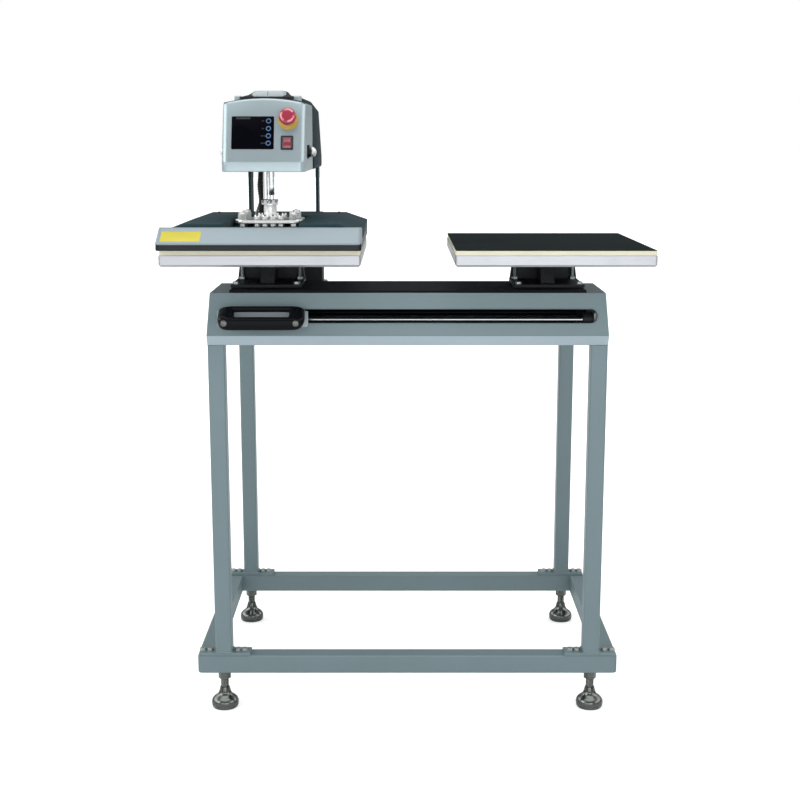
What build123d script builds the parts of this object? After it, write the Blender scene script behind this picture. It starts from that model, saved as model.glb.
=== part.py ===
from build123d import *
import math
import os

# Dual station heat press on a stand. Millimetres, +X right, +Y back, +Z up.
# The origin is on the floor under the middle of the machine.
# Distances ending in _d are measured back from the front edge of the lower platens.

os.makedirs("parts", exist_ok=True)

# Depth of the machine, from its front skirt to the plate of its inlet
skirt_overhang = 22.0
rail_back_d = 652.0
arm_back_d = rail_back_d - 2.0
cover_back_d = arm_back_d + 12.0
inlet_plate = 2.5
front_y = (skirt_overhang - cover_back_d - inlet_plate) / 2

# Two stations side by side; the press stands over the left one
station_spacing = 587.0
station_x = station_spacing / 2
press_x = -station_x

# Heights
rail_bottom_z = 82.0
rail_height = 40.0
rail_top_z = rail_bottom_z + rail_height
beam_bottom_z = 794.0
beam_height = 108.0
beam_top_z = beam_bottom_z + beam_height
pad_top_z = 994.0

# Clearances
seat_gap = 0.3
slide_gap = 0.05
overcut = 1.0

# Fasteners
bolt_radius = 4.0
bolt_hole = bolt_radius + seat_gap
head_across = 13.0
head_height = 5.5
bolt_grip = 16.0

# Lower platens
platen_width = 400.0
platen_depth = 500.0
pad_thick = 11.0
pad_inset = 1.0
platen_thick = 22.0
platen_corner = 5.0
platen_bottom_z = pad_top_z - pad_thick - platen_thick
platen_bolt_x = 38.5
platen_bolt_d = 190.0

# Pedestals of the lower platens
strip_thick = 5.0
strip_front_d = 74.0
strip_margin = 7.5
pedestal_foot_z = beam_top_z + strip_thick
flange_thick = 6.0
pedestal_top_half = 66.0
pedestal_foot_half = 73.0
pedestal_front_d = 124.0
pedestal_wall = 8.0
rib_half = 14.0
pedestal_bolt_x = 63.0
pedestal_bolt_d = 137.0
stud_x = 61.0
strip_half = station_x + pedestal_bolt_x + strip_margin

# Carriage
carriage_rise = 68.0
carriage_z = beam_bottom_z + carriage_rise
carriage_thick = 8.0
carriage_top_z = carriage_z + carriage_thick
lip_thick = 6.0
neck_half = 75.0
lip_half = 84.0
bracket_half = 92.0
bracket_thick = 4.0
bracket_front_d = 42.0

# Guides inside the beam
bearing_length = 44.0
bearing_offset = 45.0
bearing_width = 40.0
bearing_height = 38.0
shaft_radius = 8.0
shaft_z = carriage_z - bearing_height / 2
shaft_depths = (102.0, 222.0)
bumper_radius = 15.0
bumper_length = 21.0
bumper_gap = 0.5
bumper_end_x = station_x + bearing_offset + bearing_length / 2 + bumper_gap
support_thick = 14.0
support_skin = 4.0
support_margin = 20.0
support_face_x = bumper_end_x + bumper_length

# Beam
beam_wall = 2.5
beam_back_d = 262.0
beam_top_front_d = 70.0
beam_nose_d = 52.0
beam_nose_rise = 23.0
beam_nose_z = beam_bottom_z + beam_nose_rise
beam_bevel_d = 73.0
end_margin = 7.0
end_flare = 8.0
end_plate = 6.0
beam_half_top = support_face_x + support_thick + end_margin
beam_half_bottom = beam_half_top + end_flare
slot_margin = 17.5
slot_half = station_x + neck_half + slot_margin
slot_height = 27.5
slot_high_z = carriage_z + lip_thick + 1.5
slot_low_z = slot_high_z - slot_height
rear_slot_margin = 5.5
rear_slot_half = station_x + neck_half + rear_slot_margin
rear_slot_low_z = carriage_z - 4.0
rear_slot_high_z = carriage_top_z + 5.0

# Stand
leg_side = 35.0
leg_outer = beam_half_bottom
leg_centre_x = leg_outer - leg_side / 2
tube_wall = 2.5
rail_overhang = 39.0
rail_half = leg_outer + rail_overhang
rail_width_x = 35.0
rail_width_y = 38.0
rail_front_d = 72.0
leg_front_d = rail_front_d
leg_rear_d = rail_back_d - rail_width_y + 2.0
foot_plate_length = 110.0
foot_plate_depth = 36.0
foot_plate_thick = 6.0
foot_plate_shift = 53.0
bolt_offsets = (-46.0, -31.0, 29.0, 43.0)

# Levelling feet
foot_inset = 16.0
foot_x = leg_outer - foot_inset
foot_depths = {"front": rail_front_d + rail_width_y / 2, "rear": rail_back_d - rail_width_y / 2}
foot_stem_radius = 9.0
foot_stem_gap = 0.06
foot_stem_top = rail_bottom_z + foot_inset
foot_disc_radius = 29.0
foot_disc_height = 9.0
foot_cone_top = 37.0

# Press head
spindle_d = 252.0
head_floor_z = pad_top_z + 150.0
head_floor_thick = 6.0
flange_height = 80.0
shell_wall = 2.0
shell_half = 85.0
shell_bottom_d = 111.0
fold_z = head_floor_z + 20.0
panel_top_z = fold_z + 119.0
panel_top_d = 157.0
shell_back_d = 362.0
arch_rise = 8.0
arch_z = panel_top_z + arch_rise
panel_lean = math.degrees(math.atan2(panel_top_d - shell_bottom_d, panel_top_z - fold_z))
cover_wall = 1.5
cover_half = shell_half + 3.0
cover_shoulder_half = cover_half - 6.0
cover_top_z = panel_top_z + 16.0

# Arm that carries the head from behind
arm_thick = 6.0
arm_gap = 3.5
arm_centre = cover_half - cover_wall - arm_gap - arm_thick / 2
arm_front_d = arm_back_d - 60.0
arm_reach_d = shell_back_d + 6.0
arm_rise = 70.0
arm_top_z = head_floor_z + arm_rise
flange_outer = arm_centre - arm_thick / 2 - seat_gap
housing_margin = 12.0
housing_half = arm_centre + housing_margin
housing_height = 166.0
housing_top_z = carriage_top_z + housing_height
housing_wall = 2.5
housing_front_d = arm_front_d - 6.0
housing_back_d = arm_back_d + 5.0
tail_half = housing_half + 8.0
carriage_back_d = housing_back_d

# Flange that holds the hot platen
flange_half = 71.0
flange_depth = 104.0
flange_low_z = pad_top_z + 40.0
flange_high_z = flange_low_z + 8.5
hub_radius = 14.0
coupling_low_z = flange_high_z + 28.5
coupling_high_z = coupling_low_z + 11.5
coupling_across = 35.0

# Hot platen
hot_gap = 0.3
hot_side = 2.0
hot_half = platen_width / 2 + hot_side
hot_front_d = 2.0 - skirt_overhang
hot_rear_inset = 12.0
hot_back_d = platen_depth - hot_rear_inset
hot_thick = 18.0
hot_bottom_z = pad_top_z + hot_gap
hot_top_z = hot_bottom_z + hot_thick
skirt_low_z = pad_top_z + 12.0
skirt_high_z = pad_top_z + 43.0
skirt_top_d = 28.0
skirt_half = hot_half + 0.5
rim_z = pad_top_z + 33.0
plateau_z = pad_top_z + 49.5
rim_slope = 48.0
plateau_half = hot_half - rim_slope
recess_half = flange_half + 5.0
recess_back_d = spindle_d + flange_depth / 2 + 26.0
recess_floor_z = flange_low_z - 6.5


def block(x0, x1, d0, d1, z0, z1, mode=Mode.ADD):
    """A box between two X, two distances behind the platens' front edge and two heights."""
    with Locations(((x0 + x1) / 2, front_y + (d0 + d1) / 2, (z0 + z1) / 2)):
        Box(x1 - x0, d1 - d0, z1 - z0, mode=mode)


def rod_z(x, d, z0, z1, radius, mode=Mode.ADD):
    """An upright cylinder."""
    with Locations((x, front_y + d, (z0 + z1) / 2)):
        Cylinder(radius, z1 - z0, mode=mode)


def rod_x(x0, x1, d, z, radius, mode=Mode.ADD):
    """A cylinder along X."""
    with Locations(((x0 + x1) / 2, front_y + d, z)):
        Cylinder(radius, x1 - x0, rotation=(0, 90, 0), mode=mode)


def hex_z(x, d, z0, z1, across, turn=0.0, mode=Mode.ADD):
    """An upright hexagonal prism."""
    with BuildSketch(Plane.XY.offset(z0)) as outline:
        with Locations((x, front_y + d)):
            RegularPolygon(across / 2, 6, major_radius=False, rotation=turn)
    extrude(outline.sketch, amount=z1 - z0, mode=mode)


def side_profile(points, x0, x1, mode=Mode.ADD):
    """A shape drawn in the side view, as distance and height, run from x0 to x1."""
    with BuildSketch(Plane.YZ.offset(x0)) as outline:
        with BuildLine():
            Polyline([(front_y + d, z) for d, z in points], close=True)
        make_face()
    extrude(outline.sketch, amount=x1 - x0, mode=mode)


def front_profile(points, centre_x, d0, d1, mode=Mode.ADD):
    """A shape drawn in the front view, as X and height, run back from d0 to d1."""
    plane = Plane(origin=(centre_x, front_y + d0, 0), x_dir=(1, 0, 0), z_dir=(0, -1, 0))
    with BuildSketch(plane) as outline:
        with BuildLine():
            Polyline(points, close=True)
        make_face()
    extrude(outline.sketch, amount=-(d1 - d0), mode=mode)


# Base frame, one welded ring of rectangular tube
inner_front_d = rail_front_d + rail_width_y
inner_back_d = rail_back_d - rail_width_y
inner_half = rail_half - rail_width_x
with BuildPart() as base_frame:
    block(-rail_half, rail_half, rail_front_d, rail_back_d, rail_bottom_z, rail_top_z)
    fillet(base_frame.edges().filter_by(Axis.Z), 9.0)
    fillet(base_frame.faces().sort_by(Axis.Z)[-1].edges(), 3.0)
    fillet(base_frame.faces().sort_by(Axis.Z)[0].edges(), 3.0)
    block(-inner_half, inner_half, inner_front_d, inner_back_d, rail_bottom_z, rail_top_z, Mode.SUBTRACT)
    low_z = rail_bottom_z + tube_wall
    high_z = rail_top_z - tube_wall
    for start_d, end_d in (
        (rail_front_d + tube_wall, inner_front_d - tube_wall),
        (inner_back_d + tube_wall, rail_back_d - tube_wall),
    ):
        block(-rail_half + tube_wall, rail_half - tube_wall, start_d, end_d, low_z, high_z, Mode.SUBTRACT)
    for side in (-1, 1):
        edges_x = sorted((side * (rail_half - tube_wall), side * (inner_half + tube_wall)))
        block(*edges_x, rail_front_d + tube_wall, rail_back_d - tube_wall, low_z, high_z, Mode.SUBTRACT)
        for depth in foot_depths.values():
            rod_z(side * foot_x, depth, 0, high_z, foot_stem_radius + foot_stem_gap, Mode.SUBTRACT)
        for leg_d in (leg_front_d, leg_rear_d):
            for shift in bolt_offsets:
                x = side * (leg_centre_x - shift)
                middle_d = leg_d + leg_side / 2
                rod_z(x, middle_d, high_z - overcut, rail_top_z + overcut, bolt_hole, Mode.SUBTRACT)
base_frame.part.label = "base_frame"
export_step(base_frame.part, "parts/base_frame.step")

# Legs, square tube on a bolted foot plate
for side_name, side in (("left", -1), ("right", 1)):
    for end_name, leg_d in (("front", leg_front_d), ("rear", leg_rear_d)):
        leg_x = side * leg_centre_x
        plate_x = side * (leg_centre_x - foot_plate_length / 2 + foot_plate_shift)
        middle_d = leg_d + leg_side / 2
        with BuildPart() as leg:
            block(
                leg_x - leg_side / 2, leg_x + leg_side / 2,
                leg_d, leg_d + leg_side, rail_top_z, beam_bottom_z,
            )
            fillet(leg.edges().filter_by(Axis.Z), 4.0)
            block(
                plate_x - foot_plate_length / 2, plate_x + foot_plate_length / 2,
                middle_d - foot_plate_depth / 2, middle_d + foot_plate_depth / 2,
                rail_top_z, rail_top_z + foot_plate_thick,
            )
            inside = leg_side / 2 - tube_wall
            block(
                leg_x - inside, leg_x + inside, middle_d - inside, middle_d + inside,
                rail_top_z + foot_plate_thick, beam_bottom_z, Mode.SUBTRACT,
            )
            for shift in bolt_offsets:
                x = side * (leg_centre_x - shift)
                plate_top_z = rail_top_z + foot_plate_thick
                rod_z(x, middle_d, rail_top_z - overcut, plate_top_z + overcut, bolt_hole, Mode.SUBTRACT)
        leg.part.label = f"leg_{end_name}_{side_name}"
        export_step(leg.part, f"parts/leg_{end_name}_{side_name}.step")

# Levelling feet, a threaded stem on a cone base
for side_name, side in (("left", -1), ("right", 1)):
    for end_name, depth in foot_depths.items():
        foot_centre = (side * foot_x, front_y + depth, 0)
        with BuildPart() as foot:
            with BuildSketch(Plane(origin=foot_centre, x_dir=(1, 0, 0), z_dir=(0, -1, 0))):
                with BuildLine():
                    Polyline(
                        (0, 0),
                        (foot_disc_radius - 2, 0),
                        (foot_disc_radius, 2),
                        (foot_disc_radius, foot_disc_height),
                        (foot_disc_radius - 5, foot_disc_height + 5),
                        (foot_stem_radius + 6, foot_cone_top - 10),
                        (foot_stem_radius + 4, foot_cone_top),
                        (foot_stem_radius, foot_cone_top),
                        (foot_stem_radius, foot_stem_top - 2),
                        (foot_stem_radius - 2, foot_stem_top),
                        (0, foot_stem_top),
                        close=True,
                    )
                make_face()
            revolve(axis=Axis(foot_centre, (0, 0, 1)))
        foot.part.label = f"foot_{end_name}_{side_name}"
        export_step(foot.part, f"parts/foot_{end_name}_{side_name}.step")

# Top frame, tube running from the beam back to the rear legs
with BuildPart() as top_frame:
    top_high_z = beam_bottom_z + rail_height
    block(-leg_outer, leg_outer, leg_rear_d - 2, rail_back_d, beam_bottom_z, top_high_z)
    for side in (-1, 1):
        edges_x = sorted((side * leg_outer, side * (leg_outer - leg_side)))
        block(*edges_x, beam_back_d, leg_rear_d, beam_bottom_z, top_high_z)
    low_z = beam_bottom_z + tube_wall
    high_z = top_high_z - tube_wall
    block(
        -leg_outer + tube_wall, leg_outer - tube_wall,
        leg_rear_d - 2 + tube_wall, rail_back_d - tube_wall, low_z, high_z, Mode.SUBTRACT,
    )
    for side in (-1, 1):
        edges_x = sorted((side * (leg_outer - tube_wall), side * (leg_outer - leg_side + tube_wall)))
        block(*edges_x, beam_back_d, rail_back_d - tube_wall, low_z, high_z, Mode.SUBTRACT)
top_frame.part.label = "top_frame"
export_step(top_frame.part, "parts/top_frame.step")

# Track that carries the back of the carriage
track_d = (leg_rear_d - 2 + rail_back_d) / 2
track_width = 20.0
track_height = 14.0
track_top_z = top_high_z + track_height
with BuildPart() as rear_track:
    block(
        -leg_outer + 6, leg_outer - 6, track_d - track_width / 2, track_d + track_width / 2,
        top_high_z, track_top_z,
    )
    fillet(rear_track.faces().sort_by(Axis.Z)[-1].edges().filter_by(Axis.X), 2.0)
rear_track.part.label = "rear_track"
export_step(rear_track.part, "parts/rear_track.step")

# Beam, a folded box with a long slot in front and one behind
beam_outline = [
    (beam_bevel_d, beam_bottom_z),
    (beam_nose_d, beam_nose_z),
    (beam_top_front_d, beam_top_z),
    (beam_back_d, beam_top_z),
    (beam_back_d, beam_bottom_z),
]
beam_inside = [
    (beam_bevel_d + 1.2, beam_bottom_z + beam_wall),
    (beam_nose_d + beam_wall + 0.2, beam_nose_z + 0.2),
    (beam_top_front_d + 2.0, beam_top_z - beam_wall),
    (beam_back_d - beam_wall, beam_top_z - beam_wall),
    (beam_back_d - beam_wall, beam_bottom_z + beam_wall),
]
end_lean = math.degrees(math.atan2(beam_half_bottom - beam_half_top, beam_height))
cut_half = beam_half_bottom + overcut


def end_plane(side, inset):
    """The leaning plane that trims one end of the beam."""
    turn = math.radians(end_lean)
    return Plane(
        origin=(side * (beam_half_bottom - inset), 0, beam_bottom_z),
        x_dir=(0, 1, 0),
        z_dir=(side * math.cos(turn), 0, math.sin(turn)),
    )


with BuildPart() as beam_shell:
    side_profile(beam_outline, -cut_half, cut_half)
    side_profile(beam_inside, -cut_half, cut_half, Mode.SUBTRACT)
    for side in (-1, 1):
        split(bisect_by=end_plane(side, end_plate), keep=Keep.BOTTOM)
    slot_z = (slot_low_z + slot_high_z) / 2
    slot_plane = Plane(origin=(0, front_y + beam_nose_d - 5, slot_z), x_dir=(1, 0, 0), z_dir=(0, -1, 0))
    with BuildSketch(slot_plane):
        SlotOverall(2 * slot_half, slot_height)
    extrude(amount=-30, mode=Mode.SUBTRACT)
    block(
        -rear_slot_half, rear_slot_half, beam_back_d - 10, beam_back_d + 10,
        rear_slot_low_z, rear_slot_high_z, Mode.SUBTRACT,
    )
    for side in (-1, 1):
        for shift in (-1, 1):
            x = side * station_x + shift * pedestal_bolt_x
            rod_z(x, pedestal_bolt_d, beam_top_z - 10, beam_top_z + overcut, bolt_hole, Mode.SUBTRACT)
beam_shell.part.label = "beam_shell"
export_step(beam_shell.part, "parts/beam_shell.step")

for side_name, side in (("left", -1), ("right", 1)):
    with BuildPart() as beam_end:
        side_profile(beam_outline, side * (beam_half_top - 20), side * cut_half)
        split(bisect_by=end_plane(side, 0.0), keep=Keep.BOTTOM)
        split(bisect_by=end_plane(side, end_plate), keep=Keep.TOP)
    beam_end.part.label = f"beam_end_{side_name}"
    export_step(beam_end.part, f"parts/beam_end_{side_name}.step")

# Two guide shafts and the blocks that hold their ends
shaft_half = support_face_x + support_thick - support_skin
with BuildPart() as guide_shafts:
    for depth in shaft_depths:
        rod_x(-shaft_half, shaft_half, depth, shaft_z, shaft_radius)
    chamfer(guide_shafts.edges().filter_by(GeomType.CIRCLE), 1.0)
guide_shafts.part.label = "guide_shafts"
export_step(guide_shafts.part, "parts/guide_shafts.step")

for side_name, side in (("left", -1), ("right", 1)):
    with BuildPart() as shaft_support:
        edges_x = sorted((side * support_face_x, side * (support_face_x + support_thick)))
        block(
            *edges_x, shaft_depths[0] - support_margin, shaft_depths[1] + support_margin,
            beam_bottom_z + beam_wall, shaft_z + support_margin,
        )
        fillet(shaft_support.faces().sort_by(Axis.Z)[-1].edges().filter_by(Axis.X), 6.0)
        for depth in shaft_depths:
            bore_x = sorted((side * (support_face_x - overcut), side * shaft_half))
            rod_x(*bore_x, depth, shaft_z, shaft_radius + seat_gap, Mode.SUBTRACT)
    shaft_support.part.label = f"shaft_support_{side_name}"
    export_step(shaft_support.part, f"parts/shaft_support_{side_name}.step")

# Rubber rings on the shafts that stop the carriage
with BuildPart() as stop_bumpers:
    for side in (-1, 1):
        for depth in shaft_depths:
            ring_x = sorted((side * bumper_end_x, side * support_face_x))
            rod_x(*ring_x, depth, shaft_z, bumper_radius)
    fillet(stop_bumpers.edges().filter_by(GeomType.CIRCLE), 2.0)
    for depth in shaft_depths:
        rod_x(-shaft_half, shaft_half, depth, shaft_z, shaft_radius + seat_gap, Mode.SUBTRACT)
stop_bumpers.part.label = "stop_bumpers"
export_step(stop_bumpers.part, "parts/stop_bumpers.step")

# Dark mounting strip on top of the beam
with BuildPart() as pedestal_strip:
    block(-strip_half, strip_half, strip_front_d, beam_back_d - 2, beam_top_z, pedestal_foot_z)
    chamfer(pedestal_strip.faces().sort_by(Axis.Z)[-1].edges(), 1.0)
    for side in (-1, 1):
        for shift in (-1, 1):
            x = side * station_x + shift * pedestal_bolt_x
            high_z = pedestal_foot_z + overcut
            rod_z(x, pedestal_bolt_d, beam_top_z - overcut, high_z, bolt_hole, Mode.SUBTRACT)
pedestal_strip.part.label = "pedestal_strip"
export_step(pedestal_strip.part, "parts/pedestal_strip.step")

# Pedestals, a foot flange, a back wall, a rib and a top flange
top_flange_z = platen_bottom_z - flange_thick
pedestal_back_d = beam_back_d - 2.0
pedestal_wall_d = pedestal_back_d - pedestal_wall
stud_d = pedestal_wall_d - 9.0
wall_outline = [
    (-pedestal_foot_half, pedestal_foot_z),
    (pedestal_foot_half, pedestal_foot_z),
    (pedestal_top_half, platen_bottom_z),
    (-pedestal_top_half, platen_bottom_z),
]
for side_name, side in (("left", -1), ("right", 1)):
    middle_x = side * station_x
    with BuildPart() as pedestal:
        block(
            middle_x - pedestal_foot_half, middle_x + pedestal_foot_half,
            pedestal_front_d, pedestal_back_d, pedestal_foot_z, pedestal_foot_z + flange_thick,
        )
        block(
            middle_x - pedestal_top_half, middle_x + pedestal_top_half,
            pedestal_front_d + 36, pedestal_back_d, top_flange_z, platen_bottom_z,
        )
        front_profile(wall_outline, middle_x, pedestal_wall_d, pedestal_back_d)
        side_profile(
            [
                (pedestal_front_d + 28, pedestal_foot_z),
                (pedestal_front_d + 46, platen_bottom_z),
                (pedestal_wall_d, platen_bottom_z),
                (pedestal_wall_d, pedestal_foot_z),
            ],
            middle_x - rib_half, middle_x + rib_half,
        )
        for shift in (-1, 1):
            bolt_x = middle_x + shift * pedestal_bolt_x
            low_z = pedestal_foot_z - overcut
            high_z = pedestal_foot_z + flange_thick + overcut
            rod_z(bolt_x, pedestal_bolt_d, low_z, high_z, bolt_hole, Mode.SUBTRACT)
            bolt_x = middle_x + shift * platen_bolt_x
            low_z = top_flange_z - overcut
            high_z = platen_bottom_z + overcut
            rod_z(bolt_x, platen_bolt_d, low_z, high_z, bolt_hole, Mode.SUBTRACT)
    pedestal.part.label = f"pedestal_{side_name}"
    export_step(pedestal.part, f"parts/pedestal_{side_name}.step")

# Lower platens and their silicone pads
platen_thread = 10.0
for side_name, side in (("left", -1), ("right", 1)):
    middle_x = side * station_x
    with BuildPart() as lower_platen:
        block(
            middle_x - platen_width / 2, middle_x + platen_width / 2,
            0, platen_depth, platen_bottom_z, pad_top_z - pad_thick,
        )
        fillet(lower_platen.edges().filter_by(Axis.Z), platen_corner)
        chamfer(lower_platen.faces().sort_by(Axis.Z)[0].edges(), 4.0)
        for shift in (-1, 1):
            bolt_x = middle_x + shift * platen_bolt_x
            low_z = platen_bottom_z - overcut
            high_z = platen_bottom_z + platen_thread + 4
            rod_z(bolt_x, platen_bolt_d, low_z, high_z, bolt_hole, Mode.SUBTRACT)
    lower_platen.part.label = f"lower_platen_{side_name}"
    export_step(lower_platen.part, f"parts/lower_platen_{side_name}.step")
    with BuildPart() as pad:
        block(
            middle_x - platen_width / 2 + pad_inset, middle_x + platen_width / 2 - pad_inset,
            pad_inset, platen_depth - pad_inset, pad_top_z - pad_thick, pad_top_z,
        )
        fillet(pad.edges().filter_by(Axis.Z), platen_corner)
        fillet(pad.faces().sort_by(Axis.Z)[-1].edges(), 1.0)
    pad.part.label = f"pad_{side_name}"
    export_step(pad.part, f"parts/pad_{side_name}.step")

# Bolts of the stand, all alike but for length
with BuildPart() as frame_bolts:
    plate_z = rail_top_z + foot_plate_thick
    flange_z = pedestal_foot_z + flange_thick
    for side in (-1, 1):
        for leg_d in (leg_front_d, leg_rear_d):
            for shift in bolt_offsets:
                x = side * (leg_centre_x - shift)
                hex_z(x, leg_d + leg_side / 2, plate_z, plate_z + head_height, head_across, 30.0)
                rod_z(x, leg_d + leg_side / 2, plate_z - bolt_grip, plate_z, bolt_radius)
        for shift in (-1, 1):
            x = side * station_x + shift * pedestal_bolt_x
            hex_z(x, pedestal_bolt_d, flange_z, flange_z + head_height, head_across)
            rod_z(x, pedestal_bolt_d, flange_z - bolt_grip, flange_z, bolt_radius)
            x = side * station_x + shift * platen_bolt_x
            hex_z(x, platen_bolt_d, top_flange_z - head_height, top_flange_z, head_across)
            rod_z(x, platen_bolt_d, top_flange_z, platen_bottom_z + platen_thread, bolt_radius)
            x = side * station_x + shift * stud_x
            rod_z(x, stud_d, flange_z, top_flange_z, bolt_radius)
            hex_z(x, stud_d, flange_z, flange_z + head_height, head_across)
            hex_z(x, stud_d, top_flange_z - head_height, top_flange_z, head_across)
frame_bolts.part.label = "frame_bolts"
export_step(frame_bolts.part, "parts/frame_bolts.step")

# Carriage plate, from the handle bracket in front to the arm at the back
lip_back_d = beam_nose_d + 24.0
neck_front_d = lip_back_d + 8.0
right_edge = [
    (lip_half, bracket_front_d),
    (lip_half, lip_back_d),
    (neck_half, neck_front_d),
    (neck_half, beam_back_d + 6),
    (tail_half, beam_back_d + 30),
    (tail_half, carriage_back_d),
]
left_edge = [(-x, depth) for x, depth in reversed(right_edge)]
with BuildPart() as carriage_plate:
    with BuildSketch(Plane.XY.offset(carriage_z)):
        with BuildLine():
            Polyline([(press_x + x, front_y + depth) for x, depth in right_edge + left_edge], close=True)
        make_face()
    extrude(amount=carriage_thick)
    block(
        press_x - lip_half - overcut, press_x + lip_half + overcut,
        bracket_front_d - overcut, lip_back_d + 4,
        carriage_z + lip_thick, carriage_top_z + overcut, Mode.SUBTRACT,
    )
    block(
        press_x - bracket_half, press_x + bracket_half,
        bracket_front_d, bracket_front_d + bracket_thick, slot_low_z - 6, carriage_z + lip_thick,
    )
    fillet(carriage_plate.edges().filter_by(Axis.Y).group_by(Axis.Z)[0], 5.0)
carriage_plate.part.label = "carriage_plate"
export_step(carriage_plate.part, "parts/carriage_plate.step")

# Four linear bearings under the carriage
with BuildPart() as linear_bearings:
    for depth in shaft_depths:
        for shift in (-1, 1):
            x = press_x + shift * bearing_offset
            block(
                x - bearing_length / 2, x + bearing_length / 2,
                depth - bearing_width / 2, depth + bearing_width / 2,
                carriage_z - bearing_height, carriage_z,
            )
    chamfer(linear_bearings.edges().filter_by(Axis.X), 2.0)
    for depth in shaft_depths:
        rod_x(-shaft_half, shaft_half, depth, shaft_z, shaft_radius + slide_gap, Mode.SUBTRACT)
linear_bearings.part.label = "linear_bearings"
export_step(linear_bearings.part, "parts/linear_bearings.step")

# Push handle, a moulded loop in front of the slot
grip_front_d = -16.0
grip_back_d = 8.0
handle_half = bracket_half - 6.0
handle_low_z = slot_low_z - 6.0
handle_high_z = handle_low_z + 26.0
handle_root_z = slot_high_z + 9.5
finger_half = 53.0
finger_back_d = 32.0
handle_screw_x = 71.0
handle_screw_z = (handle_low_z + handle_high_z) / 2 + 2.0
screw_radius = 3.0
screw_head_radius = 5.6
screw_head_height = 3.2
handle_mid_d = (grip_front_d + bracket_front_d) / 2
with BuildPart() as push_handle:
    side_profile(
        [
            (grip_front_d + 5, handle_low_z),
            (grip_back_d, handle_low_z),
            (bracket_front_d, handle_low_z + 10),
            (bracket_front_d, handle_root_z),
            (bracket_front_d - 10, handle_root_z),
            (grip_back_d, handle_high_z),
            (grip_front_d + 4, handle_high_z),
            (grip_front_d, handle_high_z - 5),
            (grip_front_d, handle_low_z + 6),
        ],
        press_x - handle_half, press_x + handle_half,
    )
    fillet(push_handle.faces().sort_by(Axis.Y)[0].edges().filter_by(Axis.Z), 5.0)
    with BuildSketch(Plane.XY.offset(handle_low_z - 16)):
        with Locations((press_x, front_y + (grip_back_d + finger_back_d) / 2 + 0.5)):
            RectangleRounded(2 * finger_half, finger_back_d - grip_back_d - 1, 9.0)
    extrude(amount=70, mode=Mode.SUBTRACT)
    block(
        press_x - finger_half - 9, press_x + finger_half + 9,
        finger_back_d, bracket_front_d + overcut, handle_low_z - 6, handle_high_z + 5, Mode.SUBTRACT,
    )
    for shift in (-1, 1):
        with Locations((press_x + shift * handle_screw_x, front_y + handle_mid_d, handle_screw_z)):
            Cylinder(
                screw_radius + seat_gap, bracket_front_d - grip_front_d + 2,
                rotation=(90, 0, 0), mode=Mode.SUBTRACT,
            )
push_handle.part.label = "push_handle"
export_step(push_handle.part, "parts/push_handle.step")

# Arm plates, two flat plates that carry the head
for side_name, side in (("left", -1), ("right", 1)):
    inner_x = press_x + side * (arm_centre - arm_thick / 2)
    outer_x = press_x + side * (arm_centre + arm_thick / 2)
    with BuildPart() as arm_plate:
        side_profile(
            [
                (arm_front_d, carriage_top_z),
                (arm_back_d, carriage_top_z),
                (arm_back_d, arm_top_z),
                (arm_reach_d, arm_top_z),
                (arm_reach_d, head_floor_z + 10),
                (arm_front_d, head_floor_z + 10),
            ],
            inner_x, outer_x,
        )
        fillet(arm_plate.edges().filter_by(Axis.X).group_by(Axis.Z)[-1], 12.0)
    arm_plate.part.label = f"arm_plate_{side_name}"
    export_step(arm_plate.part, f"parts/arm_plate_{side_name}.step")

# Housing round the foot of the arm
with BuildPart() as arm_housing:
    block(
        press_x - housing_half, press_x + housing_half, housing_front_d, housing_back_d,
        carriage_top_z, housing_top_z,
    )
    fillet(arm_housing.edges().filter_by(Axis.Z), 4.0)
    block(
        press_x - housing_half + housing_wall, press_x + housing_half - housing_wall,
        housing_front_d + housing_wall, housing_back_d - housing_wall,
        carriage_top_z - overcut, housing_top_z - housing_wall, Mode.SUBTRACT,
    )
    chamfer(arm_housing.faces().sort_by(Axis.Z)[-1].outer_wire().edges(), 2.0)
    for side in (-1, 1):
        slot_centre = press_x + side * arm_centre
        block(
            slot_centre - arm_thick / 2 - seat_gap, slot_centre + arm_thick / 2 + seat_gap,
            arm_front_d - seat_gap, arm_back_d + seat_gap, housing_top_z - 20, housing_top_z + overcut,
            Mode.SUBTRACT,
        )
arm_housing.part.label = "arm_housing"
export_step(arm_housing.part, "parts/arm_housing.step")

# Glide shoe that runs on the rear track
glide_half = 40.0
glide_reach = 8.0
with BuildPart() as rear_glide:
    block(
        press_x - glide_half, press_x + glide_half, track_d - track_width, track_d + track_width,
        track_top_z - glide_reach, carriage_z,
    )
    block(
        press_x - glide_half - overcut, press_x + glide_half + overcut,
        track_d - track_width / 2 - seat_gap, track_d + track_width / 2 + seat_gap,
        track_top_z - glide_reach - overcut, track_top_z + seat_gap, Mode.SUBTRACT,
    )
rear_glide.part.label = "rear_glide"
export_step(rear_glide.part, "parts/rear_glide.step")

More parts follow.
